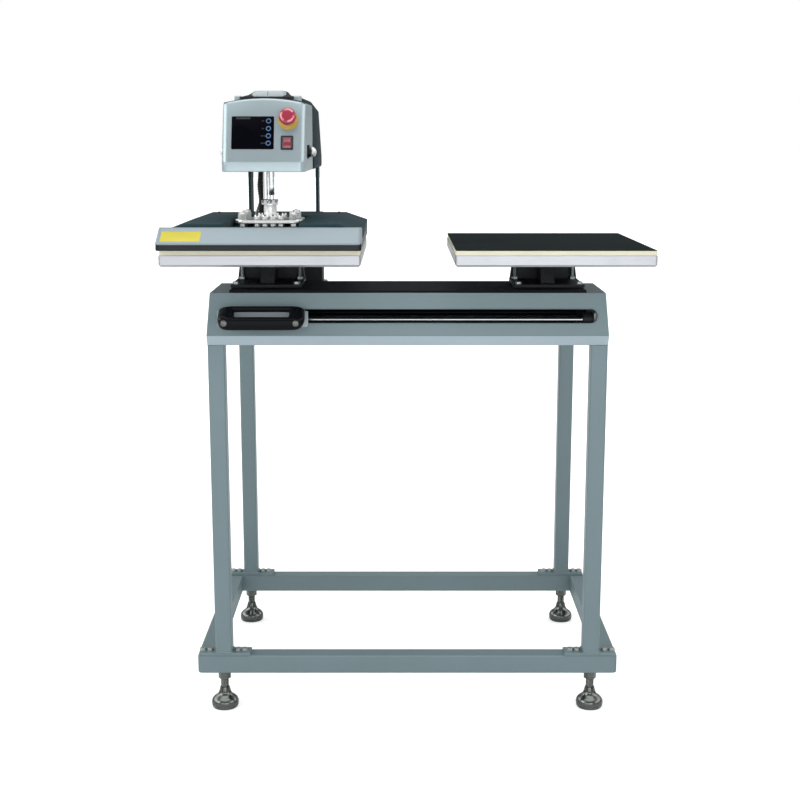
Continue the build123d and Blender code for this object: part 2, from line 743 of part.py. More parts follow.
# Floor and side flanges of the head, with holes for the rods and the leads
spindle_x = press_x + 3.5
guide_x = press_x - 9.5
spindle_radius = 6.5
guide_radius = 5.0
rod_gap = 0.08
cable_radius = 8.0
cable_hole = cable_radius + 2.0
sensor_radius = 2.4
sensor_hole = sensor_radius + 1.5
cable_top_x = -22.0
cable_top_d = 309.0
cable_foot_x = -25.0
cable_foot_d = 316.0
sensor_top_x = -12.0
sensor_top_d = 322.0
sensor_foot_x = -40.0
sensor_foot_d = 321.0
latch_d = 225.0
latch_rise = 38.5
latch_z = head_floor_z + latch_rise
latch_stem = 4.0
latch_gap = 0.06
frame_front_d = 150.0
frame_back_d = 640.0
flange_wall = 3.0
floor_top_z = head_floor_z + head_floor_thick
with BuildPart() as head_frame:
    block(
        press_x - flange_outer, press_x + flange_outer, frame_front_d, frame_back_d,
        head_floor_z, floor_top_z,
    )
    for side in (-1, 1):
        edges_x = sorted((press_x + side * flange_outer, press_x + side * (flange_outer - flange_wall)))
        block(*edges_x, frame_front_d, frame_back_d, head_floor_z, head_floor_z + flange_height)
        stem_x = sorted((press_x + side * (flange_outer - 5), press_x + side * (flange_outer + 5)))
        rod_x(*stem_x, latch_d, latch_z, latch_stem + latch_gap, Mode.SUBTRACT)
    for hole_x, hole_d, hole_radius in (
        (spindle_x, spindle_d, spindle_radius + rod_gap),
        (guide_x, spindle_d, guide_radius + rod_gap),
        (press_x + cable_top_x, cable_top_d, cable_hole),
        (press_x + sensor_top_x, sensor_top_d, sensor_hole),
    ):
        low_z = head_floor_z - overcut
        high_z = floor_top_z + overcut
        rod_z(hole_x, hole_d, low_z, high_z, hole_radius, Mode.SUBTRACT)
head_frame.part.label = "head_frame"
export_step(head_frame.part, "parts/head_frame.step")

# Leaning front of the head: the plane that its controls sit on
lean = math.radians(panel_lean)
panel_plane = Plane(
    origin=(press_x, front_y + shell_bottom_d, fold_z),
    x_dir=(1, 0, 0),
    z_dir=(0, -math.cos(lean), math.sin(lean)),
)


def on_panel(x, up, out=0.0):
    """A plane on the leaning front: x from its middle, up from its fold, out of its face."""
    return Plane(
        origin=panel_plane.from_local_coords(Vector(x, up, out)),
        x_dir=panel_plane.x_dir,
        z_dir=panel_plane.z_dir,
    )


screen_x = -22.0
screen_up = 62.0
screen_width = 87.0
screen_height = 71.0
stop_x = 50.0
stop_up = 89.0
rocker_x = 48.0
rocker_up = 40.5
rocker_width = 25.5
rocker_height = 30.0
panel_gap = 0.1
panel_cut = 12.0
stop_ring_radius = 21.0
stop_hole = 11.5
latch_slot_front_d = 178.0
latch_slot_back_d = 270.0
latch_slot_low_z = fold_z + 5.0
latch_slot_height = 28.0
latch_slot_high_z = latch_slot_low_z + latch_slot_height
actuator_half = 45.0
cap_base_half = actuator_half + 11.0
cap_base_corner = 18.0
cap_half = cap_base_half - 13.0

shell_outline = [
    (shell_bottom_d, head_floor_z),
    (shell_bottom_d, fold_z),
    (panel_top_d + 3.2, arch_z + 0.3),
    (shell_back_d, arch_z + 0.3),
    (shell_back_d, head_floor_z),
]
with BuildPart() as front_shell:
    side_profile(shell_outline, press_x - shell_half, press_x + shell_half)
    fillet(front_shell.faces().sort_by(Axis.Y)[0].edges().filter_by(Axis.Z), 11.0)
    with BuildSketch(Plane(origin=(press_x, front_y, 0), x_dir=(1, 0, 0), z_dir=(0, -1, 0))):
        with BuildLine():
            side_x = shell_half + 5.0
            spring_z = panel_top_z - 3.0
            Line((-side_x, spring_z), (-side_x, arch_z + 20))
            Line((-side_x, arch_z + 20), (side_x, arch_z + 20))
            Line((side_x, arch_z + 20), (side_x, spring_z))
            ThreePointArc((side_x, spring_z), (0, arch_z), (-side_x, spring_z))
        make_face()
    extrude(amount=-(shell_back_d + overcut), mode=Mode.SUBTRACT)
    openings = front_shell.faces().sort_by(Axis.Z)[0:1] + front_shell.faces().sort_by(Axis.Y)[-1:]
    offset(amount=-shell_wall, openings=openings, kind=Kind.INTERSECTION)
    with BuildSketch(on_panel(screen_x, screen_up, 5)):
        RectangleRounded(screen_width, screen_height, 2.5)
    extrude(amount=-panel_cut, mode=Mode.SUBTRACT)
    with BuildSketch(on_panel(stop_x, stop_up, 5)):
        Circle(stop_hole)
    extrude(amount=-panel_cut, mode=Mode.SUBTRACT)
    with BuildSketch(on_panel(rocker_x, rocker_up, 5)):
        Rectangle(rocker_width - 3, rocker_height - 3)
    extrude(amount=-panel_cut, mode=Mode.SUBTRACT)
    for side in (-1, 1):
        edges_x = sorted((press_x + side * (shell_half - 6), press_x + side * (shell_half + 3)))
        block(
            *edges_x, latch_slot_front_d, latch_slot_back_d,
            latch_slot_low_z, latch_slot_high_z, Mode.SUBTRACT,
        )
    block(
        press_x - actuator_half - 1, press_x + actuator_half + 1,
        spindle_d - actuator_half - 1, spindle_d + actuator_half + 1,
        panel_top_z - 12, arch_z + 5, Mode.SUBTRACT,
    )
front_shell.part.label = "front_shell"
export_step(front_shell.part, "parts/front_shell.step")

# Rear cover of the head
cover_front_d = shell_back_d + 0.5
inlet_x = 38.0
inlet_rise = 52.0
inlet_z = head_floor_z + inlet_rise
inlet_half = 11.5
inlet_half_height = 15.5


def cover_outline(inset, low_z):
    """Front view of the rear cover, shrunk by a wall."""
    right_side = [
        (cover_half - 2 - inset, low_z),
        (cover_half - inset, low_z + 3),
        (cover_half - inset, head_floor_z + 24),
        (cover_shoulder_half - inset, cover_top_z - 26),
        (cover_shoulder_half - 18 - inset * 0.8, cover_top_z - 3 - inset * 0.7),
        (cover_shoulder_half - 24 - inset * 0.5, cover_top_z - inset),
    ]
    left_side = [(-x, z) for x, z in reversed(right_side)]
    return right_side + left_side


with BuildPart() as rear_cover:
    front_profile(cover_outline(0.0, head_floor_z), press_x, cover_front_d, cover_back_d)
    fillet(rear_cover.faces().sort_by(Axis.Y)[-1].edges().group_by(Axis.Z)[-1], 4.0)
    front_profile(
        cover_outline(cover_wall, head_floor_z - 4), press_x,
        cover_front_d + cover_wall, cover_back_d - cover_wall, Mode.SUBTRACT,
    )
    block(
        press_x - flange_outer - 3, press_x + flange_outer + 3, shell_back_d - 5, shell_back_d + 5,
        head_floor_z - overcut, panel_top_z - 18, Mode.SUBTRACT,
    )
    block(
        press_x + inlet_x - inlet_half - 0.5, press_x + inlet_x + inlet_half + 0.5,
        cover_back_d - 10, cover_back_d + 10,
        inlet_z - inlet_half_height - 0.5, inlet_z + inlet_half_height + 0.5, Mode.SUBTRACT,
    )
rear_cover.part.label = "rear_cover"
export_step(rear_cover.part, "parts/rear_cover.step")

# Inlet socket in the back of the cover
with BuildPart() as power_inlet:
    inlet_origin = (press_x + inlet_x, front_y + cover_back_d, inlet_z)
    with BuildSketch(Plane(origin=inlet_origin, x_dir=(-1, 0, 0), z_dir=(0, 1, 0))):
        RectangleRounded(2 * inlet_half + 7, 2 * inlet_half_height + 17, 4.0)
    extrude(amount=inlet_plate)
    block(
        press_x + inlet_x - inlet_half, press_x + inlet_x + inlet_half, cover_back_d - 26, cover_back_d + 1,
        inlet_z - inlet_half_height, inlet_z + inlet_half_height,
    )
    block(
        press_x + inlet_x - inlet_half + 2.5, press_x + inlet_x + inlet_half - 2.5,
        cover_back_d - 16, cover_back_d + inlet_plate + overcut,
        inlet_z - inlet_half_height + 3, inlet_z + inlet_half_height - 3, Mode.SUBTRACT,
    )
    for shift in (-6.5, 0.0, 6.5):
        pin_z = inlet_z + (3.0 if shift == 0.0 else -3.0)
        block(
            press_x + inlet_x + shift - 1, press_x + inlet_x + shift + 1,
            cover_back_d - 17, cover_back_d - 2, pin_z - 2.5, pin_z + 2.5,
        )
power_inlet.part.label = "power_inlet"
export_step(power_inlet.part, "parts/power_inlet.step")

# Actuator that drives the hot platen, with its black top plate
rod_stroke = 50.0
rod_in_head = 60.0
actuator_top_z = arch_z + 0.4
top_plate_z = actuator_top_z + 4.1
with BuildPart() as actuator:
    block(
        press_x - actuator_half, press_x + actuator_half,
        spindle_d - actuator_half, spindle_d + actuator_half, floor_top_z, actuator_top_z,
    )
    fillet(actuator.edges().filter_by(Axis.Z), 8.0)
    low_z = floor_top_z - overcut
    bore_top = floor_top_z + rod_in_head + rod_stroke + 4
    rod_z(spindle_x, spindle_d, low_z, bore_top, spindle_radius + rod_gap, Mode.SUBTRACT)
    rod_z(guide_x, spindle_d, low_z, bore_top, guide_radius + rod_gap, Mode.SUBTRACT)
    with BuildSketch(Plane.XY.offset(actuator_top_z)):
        with Locations((press_x, front_y + spindle_d)):
            RectangleRounded(2 * cap_base_half, 2 * cap_base_half, cap_base_corner)
    extrude(amount=top_plate_z - actuator_top_z)
actuator.part.label = "actuator"
export_step(actuator.part, "parts/actuator.step")

# Low cap over the actuator
cap_top_z = top_plate_z + 13.0
with BuildPart() as top_cap:
    with BuildSketch(Plane.XY.offset(top_plate_z)):
        with Locations((press_x, front_y + spindle_d)):
            RectangleRounded(2 * cap_half, 2 * cap_half, 16.0)
    with BuildSketch(Plane.XY.offset(cap_top_z - 3)):
        with Locations((press_x, front_y + spindle_d)):
            RectangleRounded(2 * cap_half - 16, 2 * cap_half - 16, 14.0)
    with BuildSketch(Plane.XY.offset(cap_top_z)):
        with Locations((press_x, front_y + spindle_d)):
            RectangleRounded(2 * cap_half - 30, 2 * cap_half - 30, 12.0)
    loft(ruled=True)
    block(
        press_x - 0.6, press_x + 0.6, spindle_d - 60, spindle_d + 60,
        top_plate_z + 4, cap_top_z + 1, Mode.SUBTRACT,
    )
top_cap.part.label = "top_cap"
export_step(top_cap.part, "parts/top_cap.step")

# Touch screen and the board that stands behind it
screen_back = -10.0
screen_proud = 1.0
board_width = 84.0
board_height = 66.0
board_thick = 1.6
board_space = 10.0
standoff_radius = 3.0
board_back = screen_back - board_space - board_thick
board_chips = ((-26, 16, 14, 5), (-4, 12, 18, 4), (20, -14, 16, 7), (-20, -16, 12, 6))
with BuildPart() as screen_panel:
    with BuildSketch(on_panel(screen_x, screen_up, screen_back)):
        RectangleRounded(screen_width - 0.8, screen_height - 0.8, 2.2)
    extrude(amount=screen_proud - screen_back)
    glass = screen_panel.faces().sort_by(lambda face: panel_plane.to_local_coords(face.center()).Z)[-1]
    chamfer(glass.edges(), 0.5)
screen_panel.part.label = "screen_panel"
export_step(screen_panel.part, "parts/screen_panel.step")

with BuildPart() as control_board:
    with BuildSketch(on_panel(screen_x, screen_up, board_back)):
        Rectangle(board_width, board_height)
    extrude(amount=board_thick)
    for x, up, size, tall in board_chips:
        with BuildSketch(on_panel(screen_x + x, screen_up + up, board_back + board_thick)):
            Rectangle(size, size)
        extrude(amount=tall)
    with BuildSketch(on_panel(screen_x, screen_up, board_back + board_thick)):
        with GridLocations(board_width - 3 * standoff_radius, board_height - 3 * standoff_radius, 2, 2):
            Circle(standoff_radius)
    extrude(amount=board_space)
control_board.part.label = "control_board"
export_step(control_board.part, "parts/control_board.step")

# Stop button: fixed ring with its body, a stem that is pressed and a cap that twists
stop_stem_radius = 7.0
stop_stem_gap = 0.08
stop_pin_radius = 4.0
stop_pin_gap = 0.06
stop_pin_length = 6.0
stop_cap_radius = 18.0
stop_collar_radius = 13.5
stop_ring_thick = 2.4
stop_cap_out = 14.0
stop_body_depth = 34.0
with BuildPart() as stop_ring:
    with BuildSketch(on_panel(stop_x, stop_up, panel_gap)):
        Circle(stop_ring_radius)
    extrude(amount=stop_ring_thick)
    with BuildSketch(on_panel(stop_x, stop_up, panel_gap + stop_ring_thick)):
        Circle(stop_collar_radius)
    extrude(amount=4.0)
    with BuildSketch(on_panel(stop_x, stop_up, -stop_body_depth)):
        Circle(stop_hole - seat_gap)
    extrude(amount=stop_body_depth + overcut)
    with BuildSketch(on_panel(stop_x, stop_up, 4.0 - stop_body_depth)):
        Circle(stop_stem_radius + stop_stem_gap)
    extrude(amount=2 * stop_body_depth, mode=Mode.SUBTRACT)
stop_ring.part.label = "stop_ring"
export_step(stop_ring.part, "parts/stop_ring.step")

with BuildPart() as stop_stem:
    with BuildSketch(on_panel(stop_x, stop_up, 10.0 - stop_body_depth)):
        Circle(stop_stem_radius)
    extrude(amount=stop_cap_out + stop_body_depth - 10.0)
    with BuildSketch(on_panel(stop_x, stop_up, stop_cap_out)):
        Circle(stop_pin_radius)
    extrude(amount=stop_pin_length)
stop_stem.part.label = "stop_stem"
export_step(stop_stem.part, "parts/stop_stem.step")

with BuildPart() as stop_cap:
    for out, radius in (
        (stop_cap_out, stop_cap_radius - 4.0),
        (stop_cap_out + 4.0, stop_cap_radius),
        (stop_cap_out + 10.0, stop_cap_radius - 0.6),
        (stop_cap_out + 13.5, stop_cap_radius - 4.5),
    ):
        with BuildSketch(on_panel(stop_x, stop_up, out)):
            Circle(radius)
    loft(ruled=True)
    with BuildSketch(on_panel(stop_x, stop_up, stop_cap_out - overcut)):
        Circle(stop_pin_radius + stop_pin_gap)
    extrude(amount=stop_pin_length + overcut + 0.2, mode=Mode.SUBTRACT)
stop_cap.part.label = "stop_cap"
export_step(stop_cap.part, "parts/stop_cap.step")

# Mains rocker switch
rocker_inner_w = rocker_width - 9.0
rocker_inner_h = rocker_height - 9.0
with BuildPart() as rocker_bezel:
    with BuildSketch(on_panel(rocker_x, rocker_up, panel_gap)):
        RectangleRounded(rocker_width, rocker_height, 2.0)
    extrude(amount=2.1)
    with BuildSketch(on_panel(rocker_x, rocker_up, -24)):
        Rectangle(rocker_width - 4, rocker_height - 4)
    extrude(amount=25.0)
    with BuildSketch(on_panel(rocker_x, rocker_up, -12)):
        Rectangle(rocker_inner_w + 1.0, rocker_inner_h + 3.4)
    extrude(amount=20.0, mode=Mode.SUBTRACT)
rocker_bezel.part.label = "rocker_bezel"
export_step(rocker_bezel.part, "parts/rocker_bezel.step")

rocker_pivot_out = -3.0
rocker_tilt = 9.0
rocker_tip = rocker_inner_h / 2 - seat_gap
rocker_rise = 7.0
tilted = on_panel(rocker_x, rocker_up, rocker_pivot_out).rotated((rocker_tilt, 0, 0))
with BuildPart() as rocker_button:
    profile_plane = Plane(
        origin=tilted.from_local_coords(Vector(-rocker_inner_w / 2, 0, 0)),
        x_dir=tilted.y_dir,
        z_dir=tilted.x_dir,
    )
    with BuildSketch(profile_plane):
        with BuildLine():
            Line((-rocker_tip, 0.0), (-rocker_tip, rocker_rise))
            ThreePointArc((-rocker_tip, rocker_rise), (0, rocker_rise - 2.6), (rocker_tip, rocker_rise))
            Line((rocker_tip, rocker_rise), (rocker_tip, 0.0))
            ThreePointArc((rocker_tip, 0.0), (0, -5.0), (-rocker_tip, 0.0))
        make_face()
    extrude(amount=rocker_inner_w)
rocker_button.part.label = "rocker_button"
export_step(rocker_button.part, "parts/rocker_button.step")

# Quarter turn knobs on the sides of the head
latch_radius = 10.5
latch_inner = flange_outer - 7.0
latch_base = shell_half + 0.4
latch_height = 16.6
latch_tip = latch_base + latch_height
latch_centre = (press_x, front_y + latch_d, latch_z)
for side_name, side in (("left", -1), ("right", 1)):
    with BuildPart() as latch:
        with BuildSketch(Plane(origin=latch_centre, x_dir=(1, 0, 0), z_dir=(0, -1, 0))):
            with BuildLine():
                Polyline(
                    (side * latch_inner, 0),
                    (side * latch_inner, latch_stem),
                    (side * latch_base, latch_stem),
                    (side * latch_base, latch_radius),
                    (side * (latch_tip - 6.4), latch_radius),
                    (side * (latch_tip - 2.9), latch_radius - 2.5),
                    (side * (latch_tip - 0.6), latch_radius - 6.5),
                    (side * latch_tip, 0),
                    close=True,
                )
            make_face()
        revolve(axis=Axis(latch_centre, (1, 0, 0)))
        with Locations((press_x + side * (latch_tip - 0.5), front_y + latch_d, latch_z)):
            Box(3.0, 2.0, latch_radius + 1.5, mode=Mode.SUBTRACT)
    latch.part.label = f"latch_{side_name}"
    export_step(latch.part, f"parts/latch_{side_name}.step")

# Rods that lower the hot platen
rod_top_z = head_floor_z + rod_in_head
rod_thread = 8.0
spindle_neck = 9.5
spindle_tip_radius = 4.0
guide_tip_radius = 3.0
with BuildPart() as spindle:
    neck_top_z = coupling_high_z + spindle_neck
    rod_z(spindle_x, spindle_d, neck_top_z, rod_top_z, spindle_radius)
    rod_z(spindle_x, spindle_d, coupling_high_z, neck_top_z, spindle_radius - 1.6)
    rod_z(spindle_x, spindle_d, coupling_high_z + 3.0, neck_top_z - 4.0, spindle_radius - 0.4)
    rod_z(spindle_x, spindle_d, coupling_high_z - rod_thread, coupling_high_z, spindle_tip_radius)
spindle.part.label = "spindle"
export_step(spindle.part, "parts/spindle.step")

with BuildPart() as guide_rod:
    rod_z(guide_x, spindle_d, coupling_high_z, rod_top_z, guide_radius)
    rod_z(guide_x, spindle_d, coupling_high_z - rod_thread, coupling_high_z, guide_tip_radius)
guide_rod.part.label = "guide_rod"
export_step(guide_rod.part, "parts/guide_rod.step")

# Coupling that joins both rods to the hub of the flange
with BuildPart() as spindle_coupling:
    hex_z(press_x, spindle_d, coupling_low_z, coupling_high_z, coupling_across)
    chamfer(spindle_coupling.edges().filter_by(Axis.Z, reverse=True), 1.2)
    for hole_x, tip_radius in ((spindle_x, spindle_tip_radius), (guide_x, guide_tip_radius)):
        low_z = coupling_high_z - rod_thread - overcut
        high_z = coupling_high_z + overcut
        rod_z(hole_x, spindle_d, low_z, high_z, tip_radius + seat_gap, Mode.SUBTRACT)
spindle_coupling.part.label = "spindle_coupling"
export_step(spindle_coupling.part, "parts/spindle_coupling.step")

# Flange with rounded ends and its hub
bolt_row_offset = 40.0
bolt_rows_d = (spindle_d - bolt_row_offset, spindle_d + bolt_row_offset)
small_bolt_x = (-25.0, -8.0, 9.0, 26.0)
large_bolt_x = (-55.0, 53.0)
small_bolt_radius = 3.0
large_bolt_radius = 5.0
small_nut_height = 8.0
stack_radius = 10.5
stack_height = 11.0
stack_nut_height = 6.0
flange_bolt_places = []
for row_d in bolt_rows_d:
    for shift in small_bolt_x:
        flange_bolt_places.append((press_x + shift, row_d, small_bolt_radius))
    for shift in large_bolt_x:
        flange_bolt_places.append((press_x + shift, row_d, large_bolt_radius))


def flange_holes(low_z, high_z, gap):
    """Holes for all bolts of the flange."""
    for x, depth, radius in flange_bolt_places:
        rod_z(x, depth, low_z, high_z, radius + gap, Mode.SUBTRACT)


with BuildPart() as spider_flange:
    with BuildSketch(Plane.XY.offset(flange_low_z)):
        with Locations((press_x, front_y + spindle_d)):
            RectangleRounded(2 * flange_half, flange_depth, 20.0)
    extrude(amount=flange_high_z - flange_low_z)
    chamfer(spider_flange.edges().group_by(Axis.Z)[-1], 1.2)
    rod_z(press_x, spindle_d, flange_high_z, coupling_low_z, hub_radius)
    flange_holes(flange_low_z - overcut, flange_high_z + overcut, seat_gap)
spider_flange.part.label = "spider_flange"
export_step(spider_flange.part, "parts/spider_flange.step")

# Bolts of the flange, four of them with a stack of spring washers
anchor_z = hot_bottom_z + 6.0
stack_top_z = flange_high_z + stack_height
with BuildPart() as flange_bolts:
    for x, row_d, radius in flange_bolt_places:
        if radius == small_bolt_radius:
            rod_z(x, row_d, anchor_z, flange_high_z + small_nut_height - 2, radius)
            hex_z(x, row_d, flange_high_z, flange_high_z + small_nut_height, 11.0)
            hex_z(x, row_d, recess_floor_z, flange_low_z, 10.0)
        else:
            rod_z(x, row_d, anchor_z, stack_top_z + stack_nut_height, radius)
            rod_z(x, row_d, flange_high_z, stack_top_z, stack_radius)
            hex_z(x, row_d, stack_top_z, stack_top_z + stack_nut_height, 15.0)
            hex_z(x, row_d, recess_floor_z, flange_low_z, 16.0)
flange_bolts.part.label = "flange_bolts"
export_step(flange_bolts.part, "parts/flange_bolts.step")

# Hot platen with its blind bolt holes
hot_chamfer = 12.0
with BuildPart() as hot_platen:
    block(
        press_x - hot_half, press_x + hot_half, hot_front_d, hot_back_d,
        hot_bottom_z, hot_top_z,
    )
    fillet(hot_platen.edges().filter_by(Axis.Z), 8.0)
    fillet(hot_platen.faces().sort_by(Axis.Z)[0].edges(), 1.5)
    side_profile(
        [
            (hot_front_d - 1, skirt_low_z - 0.5),
            (hot_front_d + hot_chamfer, hot_top_z + 0.5),
            (hot_front_d - 1, hot_top_z + 0.5),
        ],
        press_x - hot_half - overcut, press_x + hot_half + overcut, Mode.SUBTRACT,
    )
    flange_holes(anchor_z, hot_top_z + overcut, seat_gap)
hot_platen.part.label = "hot_platen"
export_step(hot_platen.part, "parts/hot_platen.step")

# Insulation over the hot platen
lid_wall = 2.0
insulation_inset = 14.0
insulation_high_z = recess_floor_z - lid_wall - 2.0
insulation_front_d = skirt_top_d + 16.0
with BuildPart() as insulation:
    block(
        press_x - hot_half + insulation_inset, press_x + hot_half - insulation_inset,
        insulation_front_d, hot_back_d - insulation_inset, hot_top_z, insulation_high_z,
    )
    flange_holes(hot_bottom_z, insulation_high_z + overcut, overcut)
    for hole_x, hole_d, hole_radius in (
        (press_x + cable_foot_x, cable_foot_d, cable_hole),
        (press_x + sensor_foot_x, sensor_foot_d, sensor_hole),
    ):
        rod_z(hole_x, hole_d, hot_bottom_z, insulation_high_z + overcut, hole_radius, Mode.SUBTRACT)
insulation.part.label = "insulation"
export_step(insulation.part, "parts/insulation.step")

# Slanted front skirt of the hot platen
skirt_thick = 2.0
skirt_front_d = -skirt_overhang
skirt_back_d = skirt_top_d + 8.0
with BuildPart() as front_skirt:
    side_profile(
        [
            (skirt_front_d, skirt_low_z),
            (skirt_front_d, skirt_low_z + 3),
            (skirt_top_d, skirt_high_z),
            (skirt_back_d, skirt_high_z),
            (skirt_back_d, skirt_high_z - skirt_thick),
            (skirt_top_d + 0.6, skirt_high_z - skirt_thick),
            (hot_front_d, skirt_low_z + 1.7),
            (hot_front_d, skirt_low_z),
        ],
        press_x - skirt_half, press_x + skirt_half,
    )
    for side in (-1, 1):
        edges_x = sorted((press_x + side * (skirt_half - skirt_thick), press_x + side * skirt_half))
        side_profile(
            [
                (hot_front_d + 8, hot_top_z + 0.4),
                (skirt_top_d, skirt_high_z - 1.2),
                (skirt_back_d, skirt_high_z - 1.0),
                (skirt_back_d, hot_top_z + 0.4),
            ],
            *edges_x,
        )
front_skirt.part.label = "front_skirt"
export_step(front_skirt.part, "parts/front_skirt.step")

# Dark cover of the hot platen, with a recess for the flange
cover_start_d = skirt_back_d + 0.4
cover_rear_d = hot_back_d - 2


def lid_outline(inset):
    """Front view of the cover, shrunk by a wall."""
    half = hot_half - inset
    slope = plateau_half - inset * 0.7
    return [
        (-half, hot_top_z),
        (half, hot_top_z),
        (half, rim_z - inset * 0.7),
        (slope, plateau_z - inset),
        (-slope, plateau_z - inset),
        (-half, rim_z - inset * 0.7),
    ]


with BuildPart() as platen_cover:
    front_profile(lid_outline(0.0), press_x, cover_start_d, cover_rear_d)
    front_profile(
        lid_outline(lid_wall), press_x, cover_start_d + lid_wall, cover_rear_d - lid_wall, Mode.SUBTRACT,
    )
    block(
        press_x - recess_half - lid_wall, press_x + recess_half + lid_wall,
        cover_start_d, recess_back_d + lid_wall, recess_floor_z - lid_wall, plateau_z - lid_wall / 2,
    )
    block(
        press_x - recess_half, press_x + recess_half, cover_start_d - overcut, recess_back_d,
        recess_floor_z, plateau_z + overcut, Mode.SUBTRACT,
    )
    flange_holes(hot_top_z, recess_floor_z + overcut, seat_gap)
    for hole_x, hole_d, hole_radius in (
        (press_x + cable_foot_x, cable_foot_d, cable_radius + seat_gap),
        (press_x + sensor_foot_x, sensor_foot_d, sensor_radius + seat_gap),
    ):
        rod_z(hole_x, hole_d, hot_top_z, recess_floor_z + overcut, hole_radius, Mode.SUBTRACT)
platen_cover.part.label = "platen_cover"
export_step(platen_cover.part, "parts/platen_cover.step")


# Sleeved heater cable and the sensor lead beside it, held by the head and by the platen
def lead_path(points):
    """Straight runs joined by arcs, each as large as its two runs allow."""
    places = [Vector(press_x + x, front_y + depth, z) for x, depth, z in points]
    radii = []
    for before, corner, after in zip(places, places[1:], places[2:]):
        first = corner - before
        second = after - corner
        half_turn = math.radians(first.get_angle(second) / 2)
        radii.append(0.45 * min(first.length, second.length) / math.tan(half_turn))
    print("bend radii", [round(radius, 1) for radius in radii])
    return places, radii


lead_high_z = floor_top_z + 7.0
lead_low_z = hot_top_z + seat_gap
lead_drops = (24.0, 50.0, 78.0, 106.0)
lead_foot = 18.0
cable_points = (
    (cable_top_x, cable_top_d, lead_high_z),
    (cable_top_x - 1.0, cable_top_d, lead_high_z - lead_drops[0]),
    (cable_top_x - 4.6, cable_top_d + 1.0, lead_high_z - lead_drops[1]),
    (cable_top_x - 0.4, cable_top_d + 3.5, lead_high_z - lead_drops[2]),
    (cable_foot_x - 0.5, cable_foot_d - 0.5, lead_high_z - lead_drops[3]),
    (cable_foot_x, cable_foot_d, lead_low_z + lead_foot),
    (cable_foot_x, cable_foot_d, lead_low_z),
)
sensor_points = (
    (sensor_top_x, sensor_top_d, lead_high_z),
    (sensor_top_x - 1.0, sensor_top_d, lead_high_z - lead_drops[0]),
    (sensor_top_x - 5.0, sensor_top_d + 1.5, lead_high_z - lead_drops[1]),
    (sensor_top_x - 15.0, sensor_top_d + 3.0, lead_high_z - lead_drops[2]),
    (sensor_foot_x + 2.5, sensor_foot_d + 0.5, lead_high_z - lead_drops[3]),
    (sensor_foot_x, sensor_foot_d, lead_low_z + lead_foot),
    (sensor_foot_x, sensor_foot_d, lead_low_z),
)
for lead_name, radius, points in (
    ("heater_cable", cable_radius, cable_points),
    ("sensor_lead", sensor_radius, sensor_points),
):
    places, radii = lead_path(points)
    with BuildPart() as lead:
        with BuildLine() as route:
            FilletPolyline(*places, radius=radii)
        path = route.wires()[0]
        with BuildSketch(Plane(origin=path @ 0, z_dir=path % 0)):
            Circle(radius)
        sweep(path=path)
    tube_volume = math.pi * radius**2 * path.length
    print(lead_name, "volume", round(lead.part.volume), "of", round(tube_volume))
    lead.part.label = lead_name
    export_step(lead.part, f"parts/{lead_name}.step")

# Screws of the carriage and the handle, all alike
carriage_screw_x = 60.0
carriage_screw_depths = (beam_back_d + 68.0, arm_front_d - 20.0)
with BuildPart() as carriage_screws:
    for shift in (-1, 1):
        x = press_x + shift * handle_screw_x
        with Locations((x, front_y + handle_mid_d, handle_screw_z)):
            Cylinder(screw_radius, bracket_front_d - grip_front_d, rotation=(90, 0, 0))
        with Locations((x, front_y + grip_front_d - screw_head_height / 2, handle_screw_z)):
            Cylinder(screw_head_radius, screw_head_height, rotation=(90, 0, 0))
        with Locations((x, front_y + grip_front_d - screw_head_height, handle_screw_z)):
            Cylinder(2.0, screw_head_height - 0.2, rotation=(90, 0, 0), mode=Mode.SUBTRACT)
        for depth in carriage_screw_depths:
            x = press_x + shift * carriage_screw_x
            rod_z(x, depth, carriage_top_z, carriage_top_z + screw_head_height, screw_head_radius)
carriage_screws.part.label = "carriage_screws"
export_step(carriage_screws.part, "parts/carriage_screws.step")
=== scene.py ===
import math

import bmesh
import bpy
from bpy.props import FloatProperty, FloatVectorProperty, PointerProperty
from mathutils import Matrix, Vector


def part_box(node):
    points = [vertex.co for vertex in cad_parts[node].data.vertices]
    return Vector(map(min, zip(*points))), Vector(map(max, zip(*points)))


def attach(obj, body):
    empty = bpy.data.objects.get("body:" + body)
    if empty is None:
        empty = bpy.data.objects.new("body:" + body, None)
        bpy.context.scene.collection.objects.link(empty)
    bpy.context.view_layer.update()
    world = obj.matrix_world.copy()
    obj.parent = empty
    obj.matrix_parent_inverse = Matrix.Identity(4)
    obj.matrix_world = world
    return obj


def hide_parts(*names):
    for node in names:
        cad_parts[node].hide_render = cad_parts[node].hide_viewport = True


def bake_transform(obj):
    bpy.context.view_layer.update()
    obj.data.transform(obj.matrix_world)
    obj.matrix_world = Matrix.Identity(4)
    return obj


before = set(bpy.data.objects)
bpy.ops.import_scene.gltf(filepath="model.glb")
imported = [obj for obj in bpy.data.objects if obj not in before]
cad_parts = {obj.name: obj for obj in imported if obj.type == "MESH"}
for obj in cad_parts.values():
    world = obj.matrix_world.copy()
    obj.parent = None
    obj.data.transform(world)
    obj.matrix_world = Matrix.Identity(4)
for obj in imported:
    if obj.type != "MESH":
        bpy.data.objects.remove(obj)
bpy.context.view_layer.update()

bl_info = {
    "name": "Dual Station Heat Press",
    "version": (1, 0, 0),
    "blender": (4, 5, 0),
    "location": "3D View > Sidebar > Heat Press",
    "description": "Builds and finishes a floor-standing heat press with two stations",
    "category": "Object",
}

MM = 0.001


def middle(node, axis):
    """The middle of a node's box along one axis, in metres."""
    low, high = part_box(node)
    return (low[axis] + high[axis]) / 2


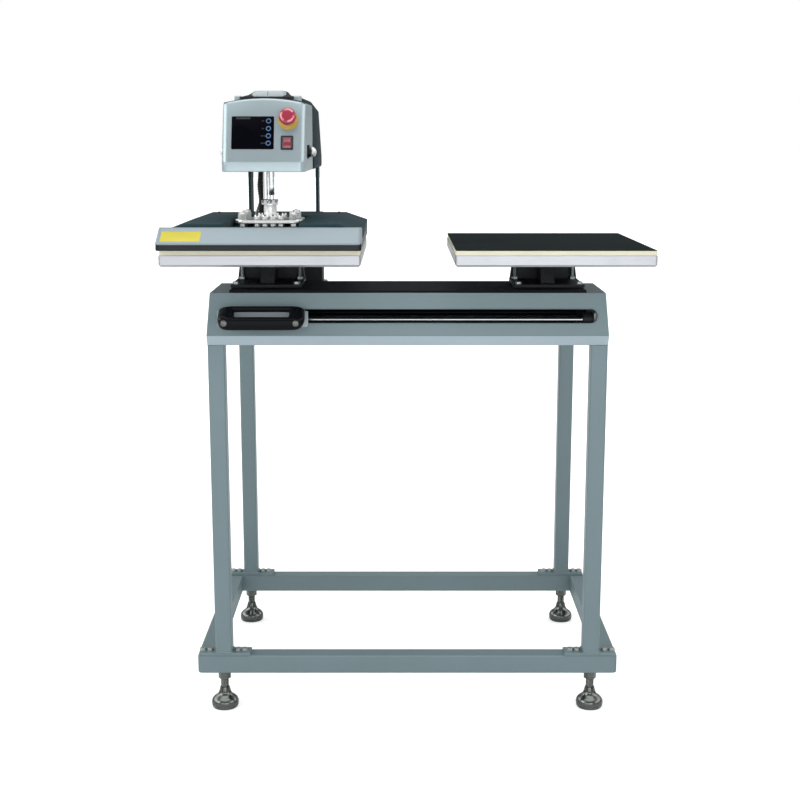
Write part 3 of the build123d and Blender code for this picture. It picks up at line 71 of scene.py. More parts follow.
# The press is measured in millimetres from the middle of its hot platen, back from the front edge of
# the lower platens and up from the top of the pads.
PRESS_X = middle("hot_platen", 0)
FRONT_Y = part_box("lower_platen_right")[0][1]
PAD_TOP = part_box("pad_right")[1][2]
PRESS = Matrix.Translation((PRESS_X, FRONT_Y, PAD_TOP)) @ Matrix.Scale(MM, 4)

# The leaning front of the head
FOLD_D = 111.0
FOLD_Z = 170.0
PANEL_TOP_D = 157.0
PANEL_TOP_Z = 289.0
LEAN = math.atan2(PANEL_TOP_D - FOLD_D, PANEL_TOP_Z - FOLD_Z)

# The leaning front of the beam, from its nose up to its top edge, and the slot in it
NOSE_D = 52.0
NOSE_RISE = 23.0
BEAM_TOP_D = 70.0
LIP_DEPTH = 21.0
END_FLARE = 8.0
SLOT_LOW_Z = -152.0
SLOT_HIGH_Z = -124.5
SLOT_HALF = 386.0

# Middles of the switches on the panel: across, and up from the fold
STOP_PLACE = (50.0, 89.0)
ROCKER_PLACE = (48.0, 40.5)
SCREEN_PLACE = (-22.0, 62.0)

# Floor of the recess in the cover of the hot platen
RECESS_Z = 33.5


def spot(x=0.0, d=0.0, z=0.0):
    """A frame at a place on the press, with its Z axis up."""
    return PRESS @ Matrix.Translation((x, d, z))


def facing(x, d, z, axis):
    """A frame at a place on the press, whose Z axis points along a given direction."""
    turn = Vector(axis).to_track_quat("Z", "Y").to_matrix().to_4x4()
    return spot(x, d, z) @ turn


def on_panel(x, up, out=0.0):
    """A frame on the leaning front of the head: X to the right, Y up the panel and Z out of it."""
    turn = Matrix.Rotation(math.pi / 2 - LEAN, 4, "X")
    return spot(0, FOLD_D, FOLD_Z) @ turn @ Matrix.Translation((x, up, out))


def mm_box(node):
    """A node's box as two corners in the press's millimetres."""
    back = PRESS.inverted()
    low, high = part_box(node)
    return back @ Vector(low), back @ Vector(high)


# Shader building


class Wire:
    """A socket whose arithmetic adds Math nodes."""

    def __init__(self, nodes, socket):
        self.nodes = nodes
        self.socket = socket

    def math(self, operation, *values):
        return self.nodes.node("ShaderNodeMath", {"operation": operation}, dict(enumerate(values)))

    def __add__(self, other):
        return self.math("ADD", self, other)

    def __radd__(self, other):
        return self.math("ADD", other, self)

    def __sub__(self, other):
        return self.math("SUBTRACT", self, other)

    def __rsub__(self, other):
        return self.math("SUBTRACT", other, self)

    def __mul__(self, other):
        return self.math("MULTIPLY", self, other)

    def __gt__(self, other):
        return self.math("GREATER_THAN", self, other)

    def between(self, low, high):
        """0 below low, 1 above high and straight in between."""
        limits = {"Value": self, "From Min": low, "From Max": high}
        return self.nodes.node("ShaderNodeMapRange", {"clamp": True}, limits)


class Nodes:
    """A node tree that is filled from Python."""

    def __init__(self, tree):
        self.tree = tree
        tree.nodes.clear()

    def node(self, kind, settings=None, inputs=None, output=0):
        item = self.tree.nodes.new(kind)
        for key, value in (settings or {}).items():
            setattr(item, key, value)
        for key, value in (inputs or {}).items():
            self.feed(item.inputs[key], value)
        return Wire(self, item.outputs[output])

    def feed(self, socket, value):
        if isinstance(value, Wire):
            self.tree.links.new(value.socket, socket)
        else:
            socket.default_value = value


class Finish(Nodes):
    """A material with one Principled shader, whose textures follow the object's own metres."""

    def __init__(self, name, colour, roughness, metallic=0.0, **fixed):
        self.material = bpy.data.materials.new(name)
        self.material.use_nodes = True
        super().__init__(self.material.node_tree)
        self.shader = self.tree.nodes.new("ShaderNodeBsdfPrincipled")
        ending = self.tree.nodes.new("ShaderNodeOutputMaterial")
        self.tree.links.new(self.shader.outputs[0], ending.inputs[0])
        self.place = self.node("ShaderNodeTexCoord", output="Object")
        self.colour = (*colour, 1.0)
        self.roughness = roughness
        self.set("Base Color", self.colour)
        self.set("Roughness", roughness)
        self.set("Metallic", metallic)
        for key, value in fixed.items():
            self.set(key.replace("_", " ").title().replace("Ior", "IOR"), value)

    def set(self, socket, value):
        self.feed(self.shader.inputs[socket], value)

    def stretched(self, x, y, z):
        """The object's metres, scaled by axis."""
        return self.node("ShaderNodeMapping", {}, {"Vector": self.place, "Scale": (x, y, z)})

    def noise(self, scale, detail=2.0, place=None):
        values = {"Vector": place or self.place, "Scale": scale, "Detail": detail}
        return self.node("ShaderNodeTexNoise", {}, values)

    def cells(self, scale):
        return self.node("ShaderNodeTexVoronoi", {}, {"Vector": self.place, "Scale": scale})

    def mix(self, share, first, second):
        """A colour between two colours."""
        return self.node(
            "ShaderNodeMix", {"data_type": "RGBA"}, {0: share, 6: first, 7: second}, output=2
        )

    def shade(self, factor):
        """The base colour made lighter or darker."""
        return (*[min(1.0, c * factor) for c in self.colour[:3]], 1.0)

    def rounded(self, radius):
        """Normals rounded over the edges, and a mask that is 1 at sharp edges."""
        soft = self.node("ShaderNodeBevel", {"samples": 4}, {"Radius": radius})
        sharp = self.node("ShaderNodeNewGeometry", output="Normal")
        cosine = self.node(
            "ShaderNodeVectorMath", {"operation": "DOT_PRODUCT"}, {0: soft, 1: sharp}, output="Value"
        )
        return soft, (1.0 - cosine).between(0.0, 0.22)

    def done(self, base, roughness, height, distance, normal=None):
        """Sets the colour, the roughness and a bump of a given depth, and hands over the material."""
        self.set("Base Color", base)
        self.set("Roughness", roughness)
        values = {"Height": height, "Distance": distance, "Strength": 1.0}
        if normal:
            values["Normal"] = normal
        self.set("Normal", self.node("ShaderNodeBump", {}, values))
        return self.material


def powder_coat(name, colour, roughness, edge_light, grain=900.0, **fixed):
    """Sprayed paint with a fine orange peel, a slow change of tone and a painted highlight along the edges.
    """
    paint = Finish(name, colour, roughness, **fixed)
    tone = paint.noise(4.0, 3.0)
    speck = paint.noise(grain * 2.5, 1.0)
    soft, edge = paint.rounded(0.0012)
    base = paint.mix(tone, paint.shade(0.9), paint.shade(1.1))
    base = paint.mix((speck > 0.64) * 0.12, base, paint.shade(1.5))
    # Painted highlight: the base colour is lightened along sharp edges, where the edges would catch the
    # light.
    base = paint.mix(edge * 0.55, base, paint.shade(edge_light))
    rough = roughness - 0.05 + tone * 0.1 + edge * 0.05
    return paint.done(base, rough, paint.noise(grain, 2.0), 0.00006, soft)


def brushed_metal(name, colour, roughness, along):
    """Milled or brushed metal with fine lines along one axis and faint smudges."""
    metal = Finish(name, colour, roughness, 1.0)
    scale = [260.0, 260.0, 260.0]
    scale[along] = 6.0
    lines = metal.noise(1.0, 3.0, metal.stretched(*scale))
    smudge = metal.noise(14.0, 4.0)
    soft, edge = metal.rounded(0.0008)
    base = metal.mix(lines, metal.shade(0.84), metal.shade(1.08))
    base = metal.mix(smudge.between(0.55, 0.75) * 0.3, base, metal.shade(0.72))
    rough = roughness - 0.08 + lines * 0.12 + smudge * 0.08 - edge * 0.05
    return metal.done(base, rough, lines, 0.00005, soft)


def polished_metal(name, colour, roughness=0.07):
    """Chrome or ground steel with a trace of turning marks and of handling."""
    metal = Finish(name, colour, roughness, 1.0)
    rings = metal.noise(1.0, 2.0, metal.stretched(30.0, 30.0, 1500.0))
    smudge = metal.noise(60.0, 4.0)
    base = metal.mix(smudge * 0.5, metal.colour, metal.shade(0.86))
    rough = roughness + smudge.between(0.45, 0.8) * 0.12 + rings * 0.03
    return metal.done(base, rough, rings, 0.00001)


def zinc_plate(name, colour, roughness):
    """Zinc plated steel: cloudy crystals and a satin shine."""
    metal = Finish(name, colour, roughness, 1.0)
    cloud = metal.cells(420.0)
    smudge = metal.noise(90.0, 3.0)
    soft, edge = metal.rounded(0.0004)
    base = metal.mix(cloud * 0.8, metal.shade(1.08), metal.shade(0.74))
    return metal.done(base, roughness - 0.06 + smudge * 0.16 - edge * 0.06, cloud, 0.00003, soft)


def moulded(name, colour, roughness=0.35, grain=1400.0, depth=0.00004, edge_highlight=1.5, **fixed):
    """Moulded plastic: a fine spark-eroded grain and edges lightened a little as a painted highlight."""
    plastic = Finish(name, colour, roughness, **fixed)
    tone = plastic.noise(30.0, 3.0)
    soft, edge = plastic.rounded(0.0006)
    base = plastic.mix(tone, plastic.shade(0.88), plastic.shade(1.12))
    # Painted highlight: the base colour is lightened along sharp edges, where the edges would shine.
    base = plastic.mix(edge * 0.4, base, plastic.shade(edge_highlight))
    rough = roughness - 0.04 + tone * 0.1 - edge * 0.06
    return plastic.done(base, rough, plastic.cells(grain), depth, soft)


def silicone_sponge(name, colour):
    """Silicone sponge: matt, with open pores darkened by painted shade, and a slightly yellowed tone."""
    sponge = Finish(name, colour, 0.72, specular_ior_level=0.2)
    tone = sponge.noise(18.0, 4.0)
    pores_and_shade = sponge.cells(900.0)
    base = sponge.mix(tone, sponge.shade(0.9), sponge.shade(1.06))
    # Painted shade: the base colour is darkened in the pores, where shade falls in the hollows; the same
    # cells make the bump.
    base = sponge.mix(pores_and_shade.between(0.55, 0.2) * 0.25, base, sponge.shade(0.7))
    return sponge.done(base, 0.66 + tone * 0.12, pores_and_shade, 0.00012)


def woven_cover(name, colour):
    """Coated glass cloth: a fine plain weave under a slick black coat."""
    cloth = Finish(name, colour, 0.75, specular_ior_level=0.05)
    pitch = 0.0011
    values = {"Vector": cloth.place, "Scale": 1.0 / (pitch * 20.0) * math.tau}
    across, along = [
        cloth.node(
            "ShaderNodeTexWave",
            {"wave_type": "BANDS", "wave_profile": "SIN", "bands_direction": axis}, values,
        )
        for axis in "XY"
    ]
    weave = across * along
    tone = cloth.noise(7.0, 4.0)
    base = cloth.mix(weave, cloth.shade(0.7), cloth.shade(1.3))
    base = cloth.mix(tone.between(0.4, 0.8) * 0.5, base, cloth.shade(1.9))
    return cloth.done(base, 0.66 + tone * 0.12 + weave * 0.08, weave, 0.00008)


def pressed_wool(name, colour):
    """Pressed mineral fibre."""
    wool = Finish(name, colour, 0.95)
    fibre = wool.noise(1.0, 6.0, wool.stretched(90.0, 700.0, 500.0))
    base = wool.mix(fibre, wool.shade(0.7), wool.shade(1.1))
    return wool.done(base, 0.85 + fibre * 0.1, fibre, 0.0006)


def lacquered_board(name, colour):
    """Circuit board under solder lacquer, with paler traces."""
    board = Finish(name, colour, 0.3)
    trace = board.cells(240.0)
    base = board.mix(trace.between(0.5, 0.6), board.colour, board.shade(1.9))
    return board.done(base, 0.25 + trace * 0.1, trace, 0.00004)


def lit_glass(name, colour, strength):
    """A printed mark behind the screen's glass, with a faint light of its own."""
    mark = Finish(name, colour, 0.25, emission_strength=strength)
    haze = mark.noise(900.0, 2.0)
    tone = mark.mix(haze, mark.shade(0.8), mark.shade(1.1))
    mark.set("Base Color", tone)
    mark.set("Emission Color", tone)
    mark.set("Roughness", 0.2 + haze * 0.1)
    return mark.material


def screen_glass(name, colour):
    """Black glass with faint finger marks."""
    glass = Finish(name, colour, 0.06, specular_ior_level=0.04)
    finger = glass.noise(70.0, 5.0)
    base = glass.mix(finger.between(0.6, 0.9), glass.colour, glass.shade(2.4))
    return glass.done(base, 0.04 + finger.between(0.55, 0.8) * 0.18, finger, 0.00001)


MATERIALS = {}


def finish(name):
    """The material of that name, made from the user's colours when it is first asked for."""
    if name not in MATERIALS:
        c = bpy.context.scene.press_colours
        make = {
            "stand_paint": lambda: powder_coat(name, c.stand, 0.42, 1.45, metallic=0.25),
            # The paler paint of the beam's lower edge is a painted highlight: a lighter colour for the light
            # that the bevel catches.
            "lip_highlight_paint": lambda: powder_coat(name, c.pale, 0.42, 1.2, metallic=0.25),
            "strip_paint": lambda: powder_coat(name, c.strip, 0.7, 2.0, specular_ior_level=0.05),
            "black_steel": lambda: powder_coat(name, c.steel, 0.45, 2.0, specular_ior_level=0.25),
            "head_paint": lambda: powder_coat(name, c.head, 0.34, 1.25, 1200.0, metallic=0.55),
            "slate_paint": lambda: powder_coat(name, c.slate, 0.6, 1.7, 1200.0, specular_ior_level=0.08),
            "cover_paint": lambda: powder_coat(name, c.cover, 0.55, 1.7, 1200.0, specular_ior_level=0.08),
            "skirt_paint": lambda: powder_coat(name, c.skirt, 0.4, 1.2, 1200.0, metallic=0.3),
            "bracket": lambda: brushed_metal(name, c.bracket, 0.5, 0),
            "dark_anodised": lambda: brushed_metal(name, c.anodised, 0.42, 0),
            "aluminium": lambda: brushed_metal(name, c.aluminium, 0.4, 0),
            "chrome": lambda: polished_metal(name, c.chrome),
            "shaft": lambda: polished_metal(name, c.shaft, 0.14),
            "zinc": lambda: zinc_plate(name, c.zinc, 0.4),
            "zinc_dull": lambda: zinc_plate(name, c.dull, 0.45),
            "nickel": lambda: polished_metal(name, c.nickel, 0.16),
            # The back shaft's dark colour is painted shade: the same ground steel, darkened because it lies
            # in shadow.
            "shaded_steel": lambda: polished_metal(name, c.shaded_steel, 0.4),
            "cap_silver": lambda: moulded(name, c.cap, 0.3, edge_highlight=1.1, coat_weight=0.4),
            "handle_black": lambda: moulded(
                name, c.handle, 0.2, 700.0, 0.00002, 1.8, specular_ior_level=0.07
            ),
            "black_plastic": lambda: moulded(name, c.plastic, 0.45),
            "red_plastic": lambda: moulded(name, c.red, 0.28, edge_highlight=1.2, coat_weight=0.3),
            "pale_red": lambda: moulded(name, c.pale_red, 0.4, edge_highlight=1.1),
            "rocker_red": lambda: moulded(name, c.rocker, 0.2, edge_highlight=1.6, coat_weight=0.5),
            "yellow_plastic": lambda: moulded(name, c.yellow, 0.45, edge_highlight=1.1),
            "sticker_yellow": lambda: moulded(name, c.sticker, 0.4, edge_highlight=1.05),
            "silicone": lambda: silicone_sponge(name, c.silicone),
            "cloth_black": lambda: woven_cover(name, c.cloth),
            "rubber": lambda: moulded(name, c.rubber, 0.55, 500.0, 0.0001),
            "sleeve": lambda: moulded(name, c.sleeve, 0.5, 900.0, 0.00015),
            "screen": lambda: screen_glass(name, c.screen),
            "icon_blue": lambda: lit_glass(name, c.icon, 0.12),
            "icon_grey": lambda: lit_glass(name, c.mark, 0.05),
            "board": lambda: lacquered_board(name, c.board),
            "wool": lambda: pressed_wool(name, c.wool),
        }
        MATERIALS[name] = make[name]()
    return MATERIALS[name]


# Mesh building


def arc(centre, radius, start, end, steps):
    """Points on an arc in a plane, with its angles in degrees."""
    angles = [math.radians(start + (end - start) * i / steps) for i in range(steps + 1)]
    return [(centre[0] + radius * math.cos(a), centre[1] + radius * math.sin(a)) for a in angles]


def circle(steps):
    """Cosines and sines of equal steps round a circle."""
    angles = [math.tau * i / steps for i in range(steps)]
    return [(math.cos(a), math.sin(a)) for a in angles]


def rounded_rectangle(width, height, radius, steps=6):
    """A closed outline, anticlockwise, centred on the origin."""
    x, y = width / 2 - radius, height / 2 - radius
    corners = ((x, y, 0), (-x, y, 90), (-x, -y, 180), (x, -y, 270))
    return [p for cx, cy, turn in corners for p in arc((cx, cy), radius, turn, turn + 90, steps)]


def eased(points, radius, steps=4):
    """An open outline whose inner corners are rounded by arcs."""
    out = [points[0]]
    for before, corner, after in zip(points, points[1:], points[2:]):
        c = Vector(corner)
        first, second = (Vector(before) - c), (Vector(after) - c)
        half = first.angle(second) / 2
        cut = min(radius / math.tan(half), first.length * 0.45, second.length * 0.45)
        start, end = c + first.normalized() * cut, c + second.normalized() * cut
        for i in range(steps + 1):
            t = i / steps
            p = start * (1 - t) ** 2 + c * 2 * t * (1 - t) + end * t**2
            out.append(tuple(p))
    out.append(points[-1])
    return out


class Form:
    """A mesh being built in a local frame of millimetres."""

    def __init__(self):
        self.mesh = bmesh.new()

    def ring(self, where, points):
        """New vertices at points of a frame."""
        return [self.mesh.verts.new(where @ Vector(p)) for p in points]

    def loft(self, rings, closed=True, caps=True):
        """Skins rings of vertices that have as many points each."""
        for first, second in zip(rings, rings[1:]):
            count = len(first)
            for i in range(count if closed else count - 1):
                j = (i + 1) % count
                self.mesh.faces.new((first[i], first[j], second[j], second[i]))
        if caps and closed:
            self.mesh.faces.new(list(reversed(rings[0])))
            self.mesh.faces.new(rings[-1])

    def stack(self, where, levels, closed=True, caps=True):
        """Lofts outlines that lie at heights along Z: each level is an outline and a height."""
        self.loft([self.ring(where, [(x, y, z) for x, y in o]) for o, z in levels], closed, caps)

    def lathe(self, where, profile, steps=40, caps=True):
        """Turns a profile of radius and height round Z."""
        turns = circle(steps)
        self.stack(where, [([(r * c, r * s) for c, s in turns], z) for r, z in profile], caps=caps)

    def prism(self, where, outline, low, high, edge=0.0):
        """An outline run along Z, with a small chamfer at both ends if asked."""
        if edge:
            centre = Vector((sum(p[0] for p in outline), sum(p[1] for p in outline))) / len(outline)
            reach = max((Vector(p) - centre).length for p in outline)
            small = [tuple(centre + (Vector(p) - centre) * (1 - edge / reach)) for p in outline]
            levels = [(small, low), (outline, low + edge), (outline, high - edge), (small, high)]
        else:
            levels = [(outline, low), (outline, high)]
        self.stack(where, levels)

    def hexagon(self, where, across, low, high, turn=0.0, bore=0.0):
        """A hexagon head or nut, with its corners turned down as on a real one, and a bore if asked."""
        corner = across / 2 / math.cos(math.pi / 6)
        steps = 48
        angles = [math.tau * i / steps for i in range(steps)]

        def outline(limit):
            points = []
            for a in angles:
                flat = (a + math.radians(turn)) % (math.pi / 3) - math.pi / 6
                reach = min(across / 2 / math.cos(flat), limit)
                points.append((reach * math.cos(a), reach * math.sin(a)))
            return points

        tip = across / 2 * 0.96
        levels = [
            (outline(corner), low), (outline(corner), high - (corner - tip) * 0.5),
            (outline((corner + tip) / 2), high - (corner - tip) * 0.2), (outline(tip), high),
        ]
        if bore:
            hole = [(bore * math.cos(a), bore * math.sin(a)) for a in angles]
            levels += [(hole, high), (hole, low), levels[0]]
        self.stack(where, levels, caps=not bore)

    def box(self, where, low, high, edge=0.4):
        """A block with small chamfers on all its edges."""
        (x0, y0, z0), (x1, y1, z1) = low, high
        centre = where @ Matrix.Translation(((x0 + x1) / 2, (y0 + y1) / 2, 0))
        self.prism(centre, rounded_rectangle(x1 - x0, y1 - y0, max(edge, 0.01), 2), z0, z1, edge)

    def build(self, name, material, body=None, nodes=(), slot=None, smooth=40.0, thick=0.0, bevel=0.0):
        """Makes the object, finishes it and, if a body is named, joins it to that body."""
        bmesh.ops.remove_doubles(self.mesh, verts=self.mesh.verts, dist=1e-7)
        bmesh.ops.recalc_face_normals(self.mesh, faces=self.mesh.faces)
        data = bpy.data.meshes.new(name)
        self.mesh.to_mesh(data)
        self.mesh.free()
        data.shade_smooth()
        data.set_sharp_from_angle(angle=math.radians(smooth))
        piece = bpy.data.objects.new(name, data)
        bpy.context.collection.objects.link(piece)
        data.materials.append(finish(material))
        if thick:
            wall = piece.modifiers.new("wall", "SOLIDIFY")
            wall.thickness = thick * MM
            wall.offset = -1.0
            wall.use_even_offset = True
        if bevel:
            edge = piece.modifiers.new("edge", "BEVEL")
            edge.width = bevel * MM
            edge.segments = 3
            edge.limit_method = "ANGLE"
            edge.angle_limit = math.radians(30.0)
            edge.harden_normals = True
        if body:
            join(piece, body, nodes)
        return piece


def join(piece, body, nodes):
    """Hides the nodes that a piece stands in for, and joins the piece to the body that it moves with."""
    if nodes:
        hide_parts(*nodes)
    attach(piece, body)


def carve(piece, cutter_form):
    """Cuts a closed form out of a piece and keeps the result as its mesh."""
    bmesh.ops.recalc_face_normals(cutter_form.mesh, faces=cutter_form.mesh.faces)
    data = bpy.data.meshes.new("cutter")
    cutter_form.mesh.to_mesh(data)
    cutter_form.mesh.free()
    cutter = bpy.data.objects.new("cutter", data)
    bpy.context.collection.objects.link(cutter)
    cut = piece.modifiers.new("cut", "BOOLEAN")
    cut.operation = "DIFFERENCE"
    cut.solver = "EXACT"
    cut.object = cutter
    settle(piece)
    bpy.data.objects.remove(cutter)
    bpy.data.meshes.remove(data)


def settle(piece):
    """Applies a piece's modifiers to its mesh."""
    bpy.context.view_layer.update()
    graph = bpy.context.evaluated_depsgraph_get()
    made = bpy.data.meshes.new_from_object(piece.evaluated_get(graph))
    made.set_sharp_from_angle(angle=math.radians(40.0))
    piece.modifiers.clear()
    piece.data = made


def coat(material, *nodes):
    """Gives a finish to nodes that keep their CAD shape."""
    for name in nodes:
        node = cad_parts[name]
        node = node if hasattr(node, "material_slots") else bpy.data.objects[node]
        if not node.material_slots:
            node.data.materials.append(finish(material))
        for place in node.material_slots:
            place.material = finish(material)


def colour(name, value, note):
    """A colour that the user may change."""
    return FloatVectorProperty(
        name=name, description=note, subtype="COLOR", size=3, min=0, max=1, default=value
    )


def length(name, value, note):
    """A length that the user may change, in millimetres."""
    return FloatProperty(name=name, description=note, default=value, min=0.0)


class PressColours(bpy.types.PropertyGroup):
    """Colours of the press."""

    stand: colour("Stand", (0.148, 0.206, 0.222), "Powder coat of the stand and the beam")
    # The colour labelled Thin coat is a painted highlight: a paler tone for the light that the beam's lower
    # bevel catches.
    pale: colour("Thin coat", (0.385, 0.465, 0.515), "Thin powder coat on the beam's lower edge")
    strip: colour("Strip", (0.010, 0.011, 0.013), "Paint of the strip on the beam")
    steel: colour("Black steel", (0.012, 0.013, 0.016), "Paint of the pedestals and of the arm")
    head: colour("Head", (0.370, 0.455, 0.482), "Paint of the head's front")
    slate: colour("Slate", (0.014, 0.026, 0.033), "Paint of the rear cover")
    cover: colour("Platen cover", (0.020, 0.043, 0.050), "Paint of the hot platen's cover and of the arm")
    skirt: colour("Skirt", (0.225, 0.278, 0.304), "Paint of the skirt of the hot platen")
    anodised: colour("Dark edge", (0.030, 0.032, 0.035), "Edge of the hot platen")
    aluminium: colour("Aluminium", (0.455, 0.470, 0.495), "Milled aluminium")
    chrome: colour("Chrome", (0.62, 0.64, 0.65), "Polished steel")
    shaft: colour("Shaft", (0.42, 0.43, 0.45), "Ground steel of the front shaft")
    bracket: colour("Bracket", (0.30, 0.335, 0.36), "Dull aluminium of the carriage")
    zinc: colour("Zinc", (0.86, 0.88, 0.87), "Plated fasteners")
    dull: colour("Dull zinc", (0.42, 0.47, 0.46), "Bolts of the stand")
    nickel: colour("Nickel", (0.13, 0.14, 0.13), "Levelling feet")
    # The colour labelled Blued is painted shade: the back shaft darkened because it lies in shadow.
    shaded_steel: colour("Blued", (0.020, 0.022, 0.024), "Shaft at the back of the beam")
    cap: colour("Cap", (0.34, 0.40, 0.42), "Cap on top of the head")
    handle: colour("Handle", (0.004, 0.0045, 0.006), "Gloss plastic of the handle")
    plastic: colour("Black plastic", (0.012, 0.012, 0.013), "Bezels, sockets and glides")
    red: colour("Red", (0.300, 0.018, 0.045), "Stop button")
    pale_red: colour("Pale red", (0.85, 0.38, 0.42), "Arcs on the stop button")
    rocker: colour("Rocker red", (0.23, 0.026, 0.048), "Mains rocker")
    yellow: colour("Yellow", (0.46, 0.31, 0.05), "Ring of the stop button")
    sticker: colour("Sticker", (0.52, 0.45, 0.02), "Plain sticker on the skirt")
    silicone: colour("Silicone", (0.70, 0.68, 0.53), "Sponge of the pads")
    cloth: colour("Pad cover", (0.006, 0.010, 0.011), "Coated cloth on the pads")
    rubber: colour("Rubber", (0.012, 0.012, 0.012), "Cable and bumpers")
    sleeve: colour("Sleeve", (0.30, 0.33, 0.34), "Sleeve of the sensor lead")
    screen: colour("Screen", (0.002, 0.002, 0.004), "Glass of the screen")
    icon: colour("Icon", (0.075, 0.15, 0.29), "Ring marks on the screen")
    mark: colour("Mark", (0.030, 0.034, 0.040), "Faint marks on the screen")
    board: colour("Board", (0.02, 0.14, 0.06), "Circuit board")
    wool: colour("Wool", (0.72, 0.70, 0.62), "Insulation")


class PressSizes(bpy.types.PropertyGroup):
    """Sizes of the press's details, in millimetres."""

    shell_corner: length("Shell corner", 13.0, "Corner radius of the head's front")
    skirt_corner: length("Skirt corner", 12.0, "Corner radius of the skirt")
    sheet: length("Sheet", 1.5, "Thickness of the folded covers")
    cloth: length("Pad cover", 1.2, "Thickness of the cloth on the pads")
    thread: length("Thread", 1.5, "Pitch of the threads that show")
    rim: length("Slot rim", 2.4, "Width of the bead round the slot")
    convolution: length("Convolution", 3.4, "Pitch of the heater cable's conduit")


def sizes():
    """The sizes that the user may change."""
    return bpy.context.scene.press_sizes


def threaded(radius, low, high, pitch, depth=0.45):
    """A lathe profile with thread crests, as radius and height."""
    count = max(2, int((high - low) / pitch))
    step = (high - low) / count
    profile = []
    for i in range(count):
        z = low + i * step
        profile += [(radius - depth, z), (radius, z + step * 0.35), (radius, z + step * 0.55)]
    return profile + [(radius - depth, high)]


class PRESS_OT_stage(bpy.types.Operator):
    """Floor, soft lights, pale surroundings and the camera"""

    bl_idname = "press.stage"
    bl_label = "Stage"

    def execute(self, context):
        floor = Finish("floor", (0.72, 0.73, 0.74), 0.85, emission_strength=0.5)
        grain = floor.noise(3.0, 4.0)
        floor.set("Base Color", floor.mix(grain, floor.shade(0.985), floor.shade(1.01)))
        seen = floor.node("ShaderNodeLightPath")
        floor.set("Emission Color", floor.mix(seen, (0.0, 0.0, 0.0, 1.0), (1.0, 1.0, 1.0, 1.0)))
        bpy.ops.mesh.primitive_plane_add(size=80.0, location=(0.0, 0.0, 0.0))
        ground = context.object
        ground.name = "floor"
        ground.data.materials.append(floor.material)
        self.light("key", (-2.4, -1.5, 1.9), (0.6, 1.5), 6.0)
        self.light("front_left", (-1.3, -3.9, 1.25), (2.2, 1.8), 20.0)
        self.light("front_right", (0.9, -3.9, 1.25), (2.2, 1.8), 28.0)
        self.surroundings(context)
        self.camera(context)
        context.scene.view_settings.view_transform = "Standard"
        context.scene.view_settings.look = "None"
        return {"FINISHED"}

    def light(self, name, place, size, power):
        """A soft rectangular light that is aimed at the middle of the press."""
        target = Vector((0.0, 0.0, 0.85))
        lamp = bpy.data.lights.new(name, "AREA")
        lamp.shape = "RECTANGLE"
        lamp.size, lamp.size_y = size
        lamp.energy = power
        item = bpy.data.objects.new(name, lamp)
        bpy.context.collection.objects.link(item)
        item.location = place
        aim = target - Vector(place)
        item.rotation_euler = aim.to_track_quat("-Z", "Y").to_euler()

    def surroundings(self, context):
        """A dim room with a bright ceiling and two soft bands at the sides, and white where it is seen."""
        world = bpy.data.worlds.new("studio")
        context.scene.world = world
        world.use_nodes = True
        sky = Nodes(world.node_tree)
        ray = sky.node("ShaderNodeTexCoord", output="Generated")
        parts = sky.tree.nodes.new("ShaderNodeSeparateXYZ")
        sky.feed(parts.inputs[0], ray)
        across = Wire(sky, parts.outputs[0])
        rise = Wire(sky, parts.outputs[2])
        band = rise.between(0.18, 0.34) * (1.0 - rise.between(0.6, 0.72))
        level = 0.27 + rise.between(0.74, 0.9) * 2.1
        level = level + (across * -1.0).between(0.5, 0.8) * band * 3.0
        level = level + across.between(0.5, 0.8) * band * 2.2
        seen = sky.node("ShaderNodeLightPath")
        level = level * (1.0 - seen) + seen
        back = sky.tree.nodes.new("ShaderNodeBackground")
        sky.feed(back.inputs["Strength"], level)
        back.inputs["Color"].default_value = (1.0, 1.0, 1.0, 1.0)
        ending = sky.tree.nodes.new("ShaderNodeOutputWorld")
        sky.tree.links.new(back.outputs[0], ending.inputs[0])

    def camera(self, context):
        """The photograph's view, fitted with the corners of the lower platens."""
        place = (-0.0158, FRONT_Y - 2.6908, PAD_TOP + 0.2188)
        pitch = math.radians(10.915)
        data = bpy.data.cameras.new("camera")
        data.sensor_width = 36.0
        data.lens = 61.3
        camera = bpy.data.objects.new("camera", data)
        context.collection.objects.link(camera)
        camera.location = place
        camera.rotation_euler = (math.pi / 2 - pitch, 0.0, 0.0)
        context.scene.camera = camera


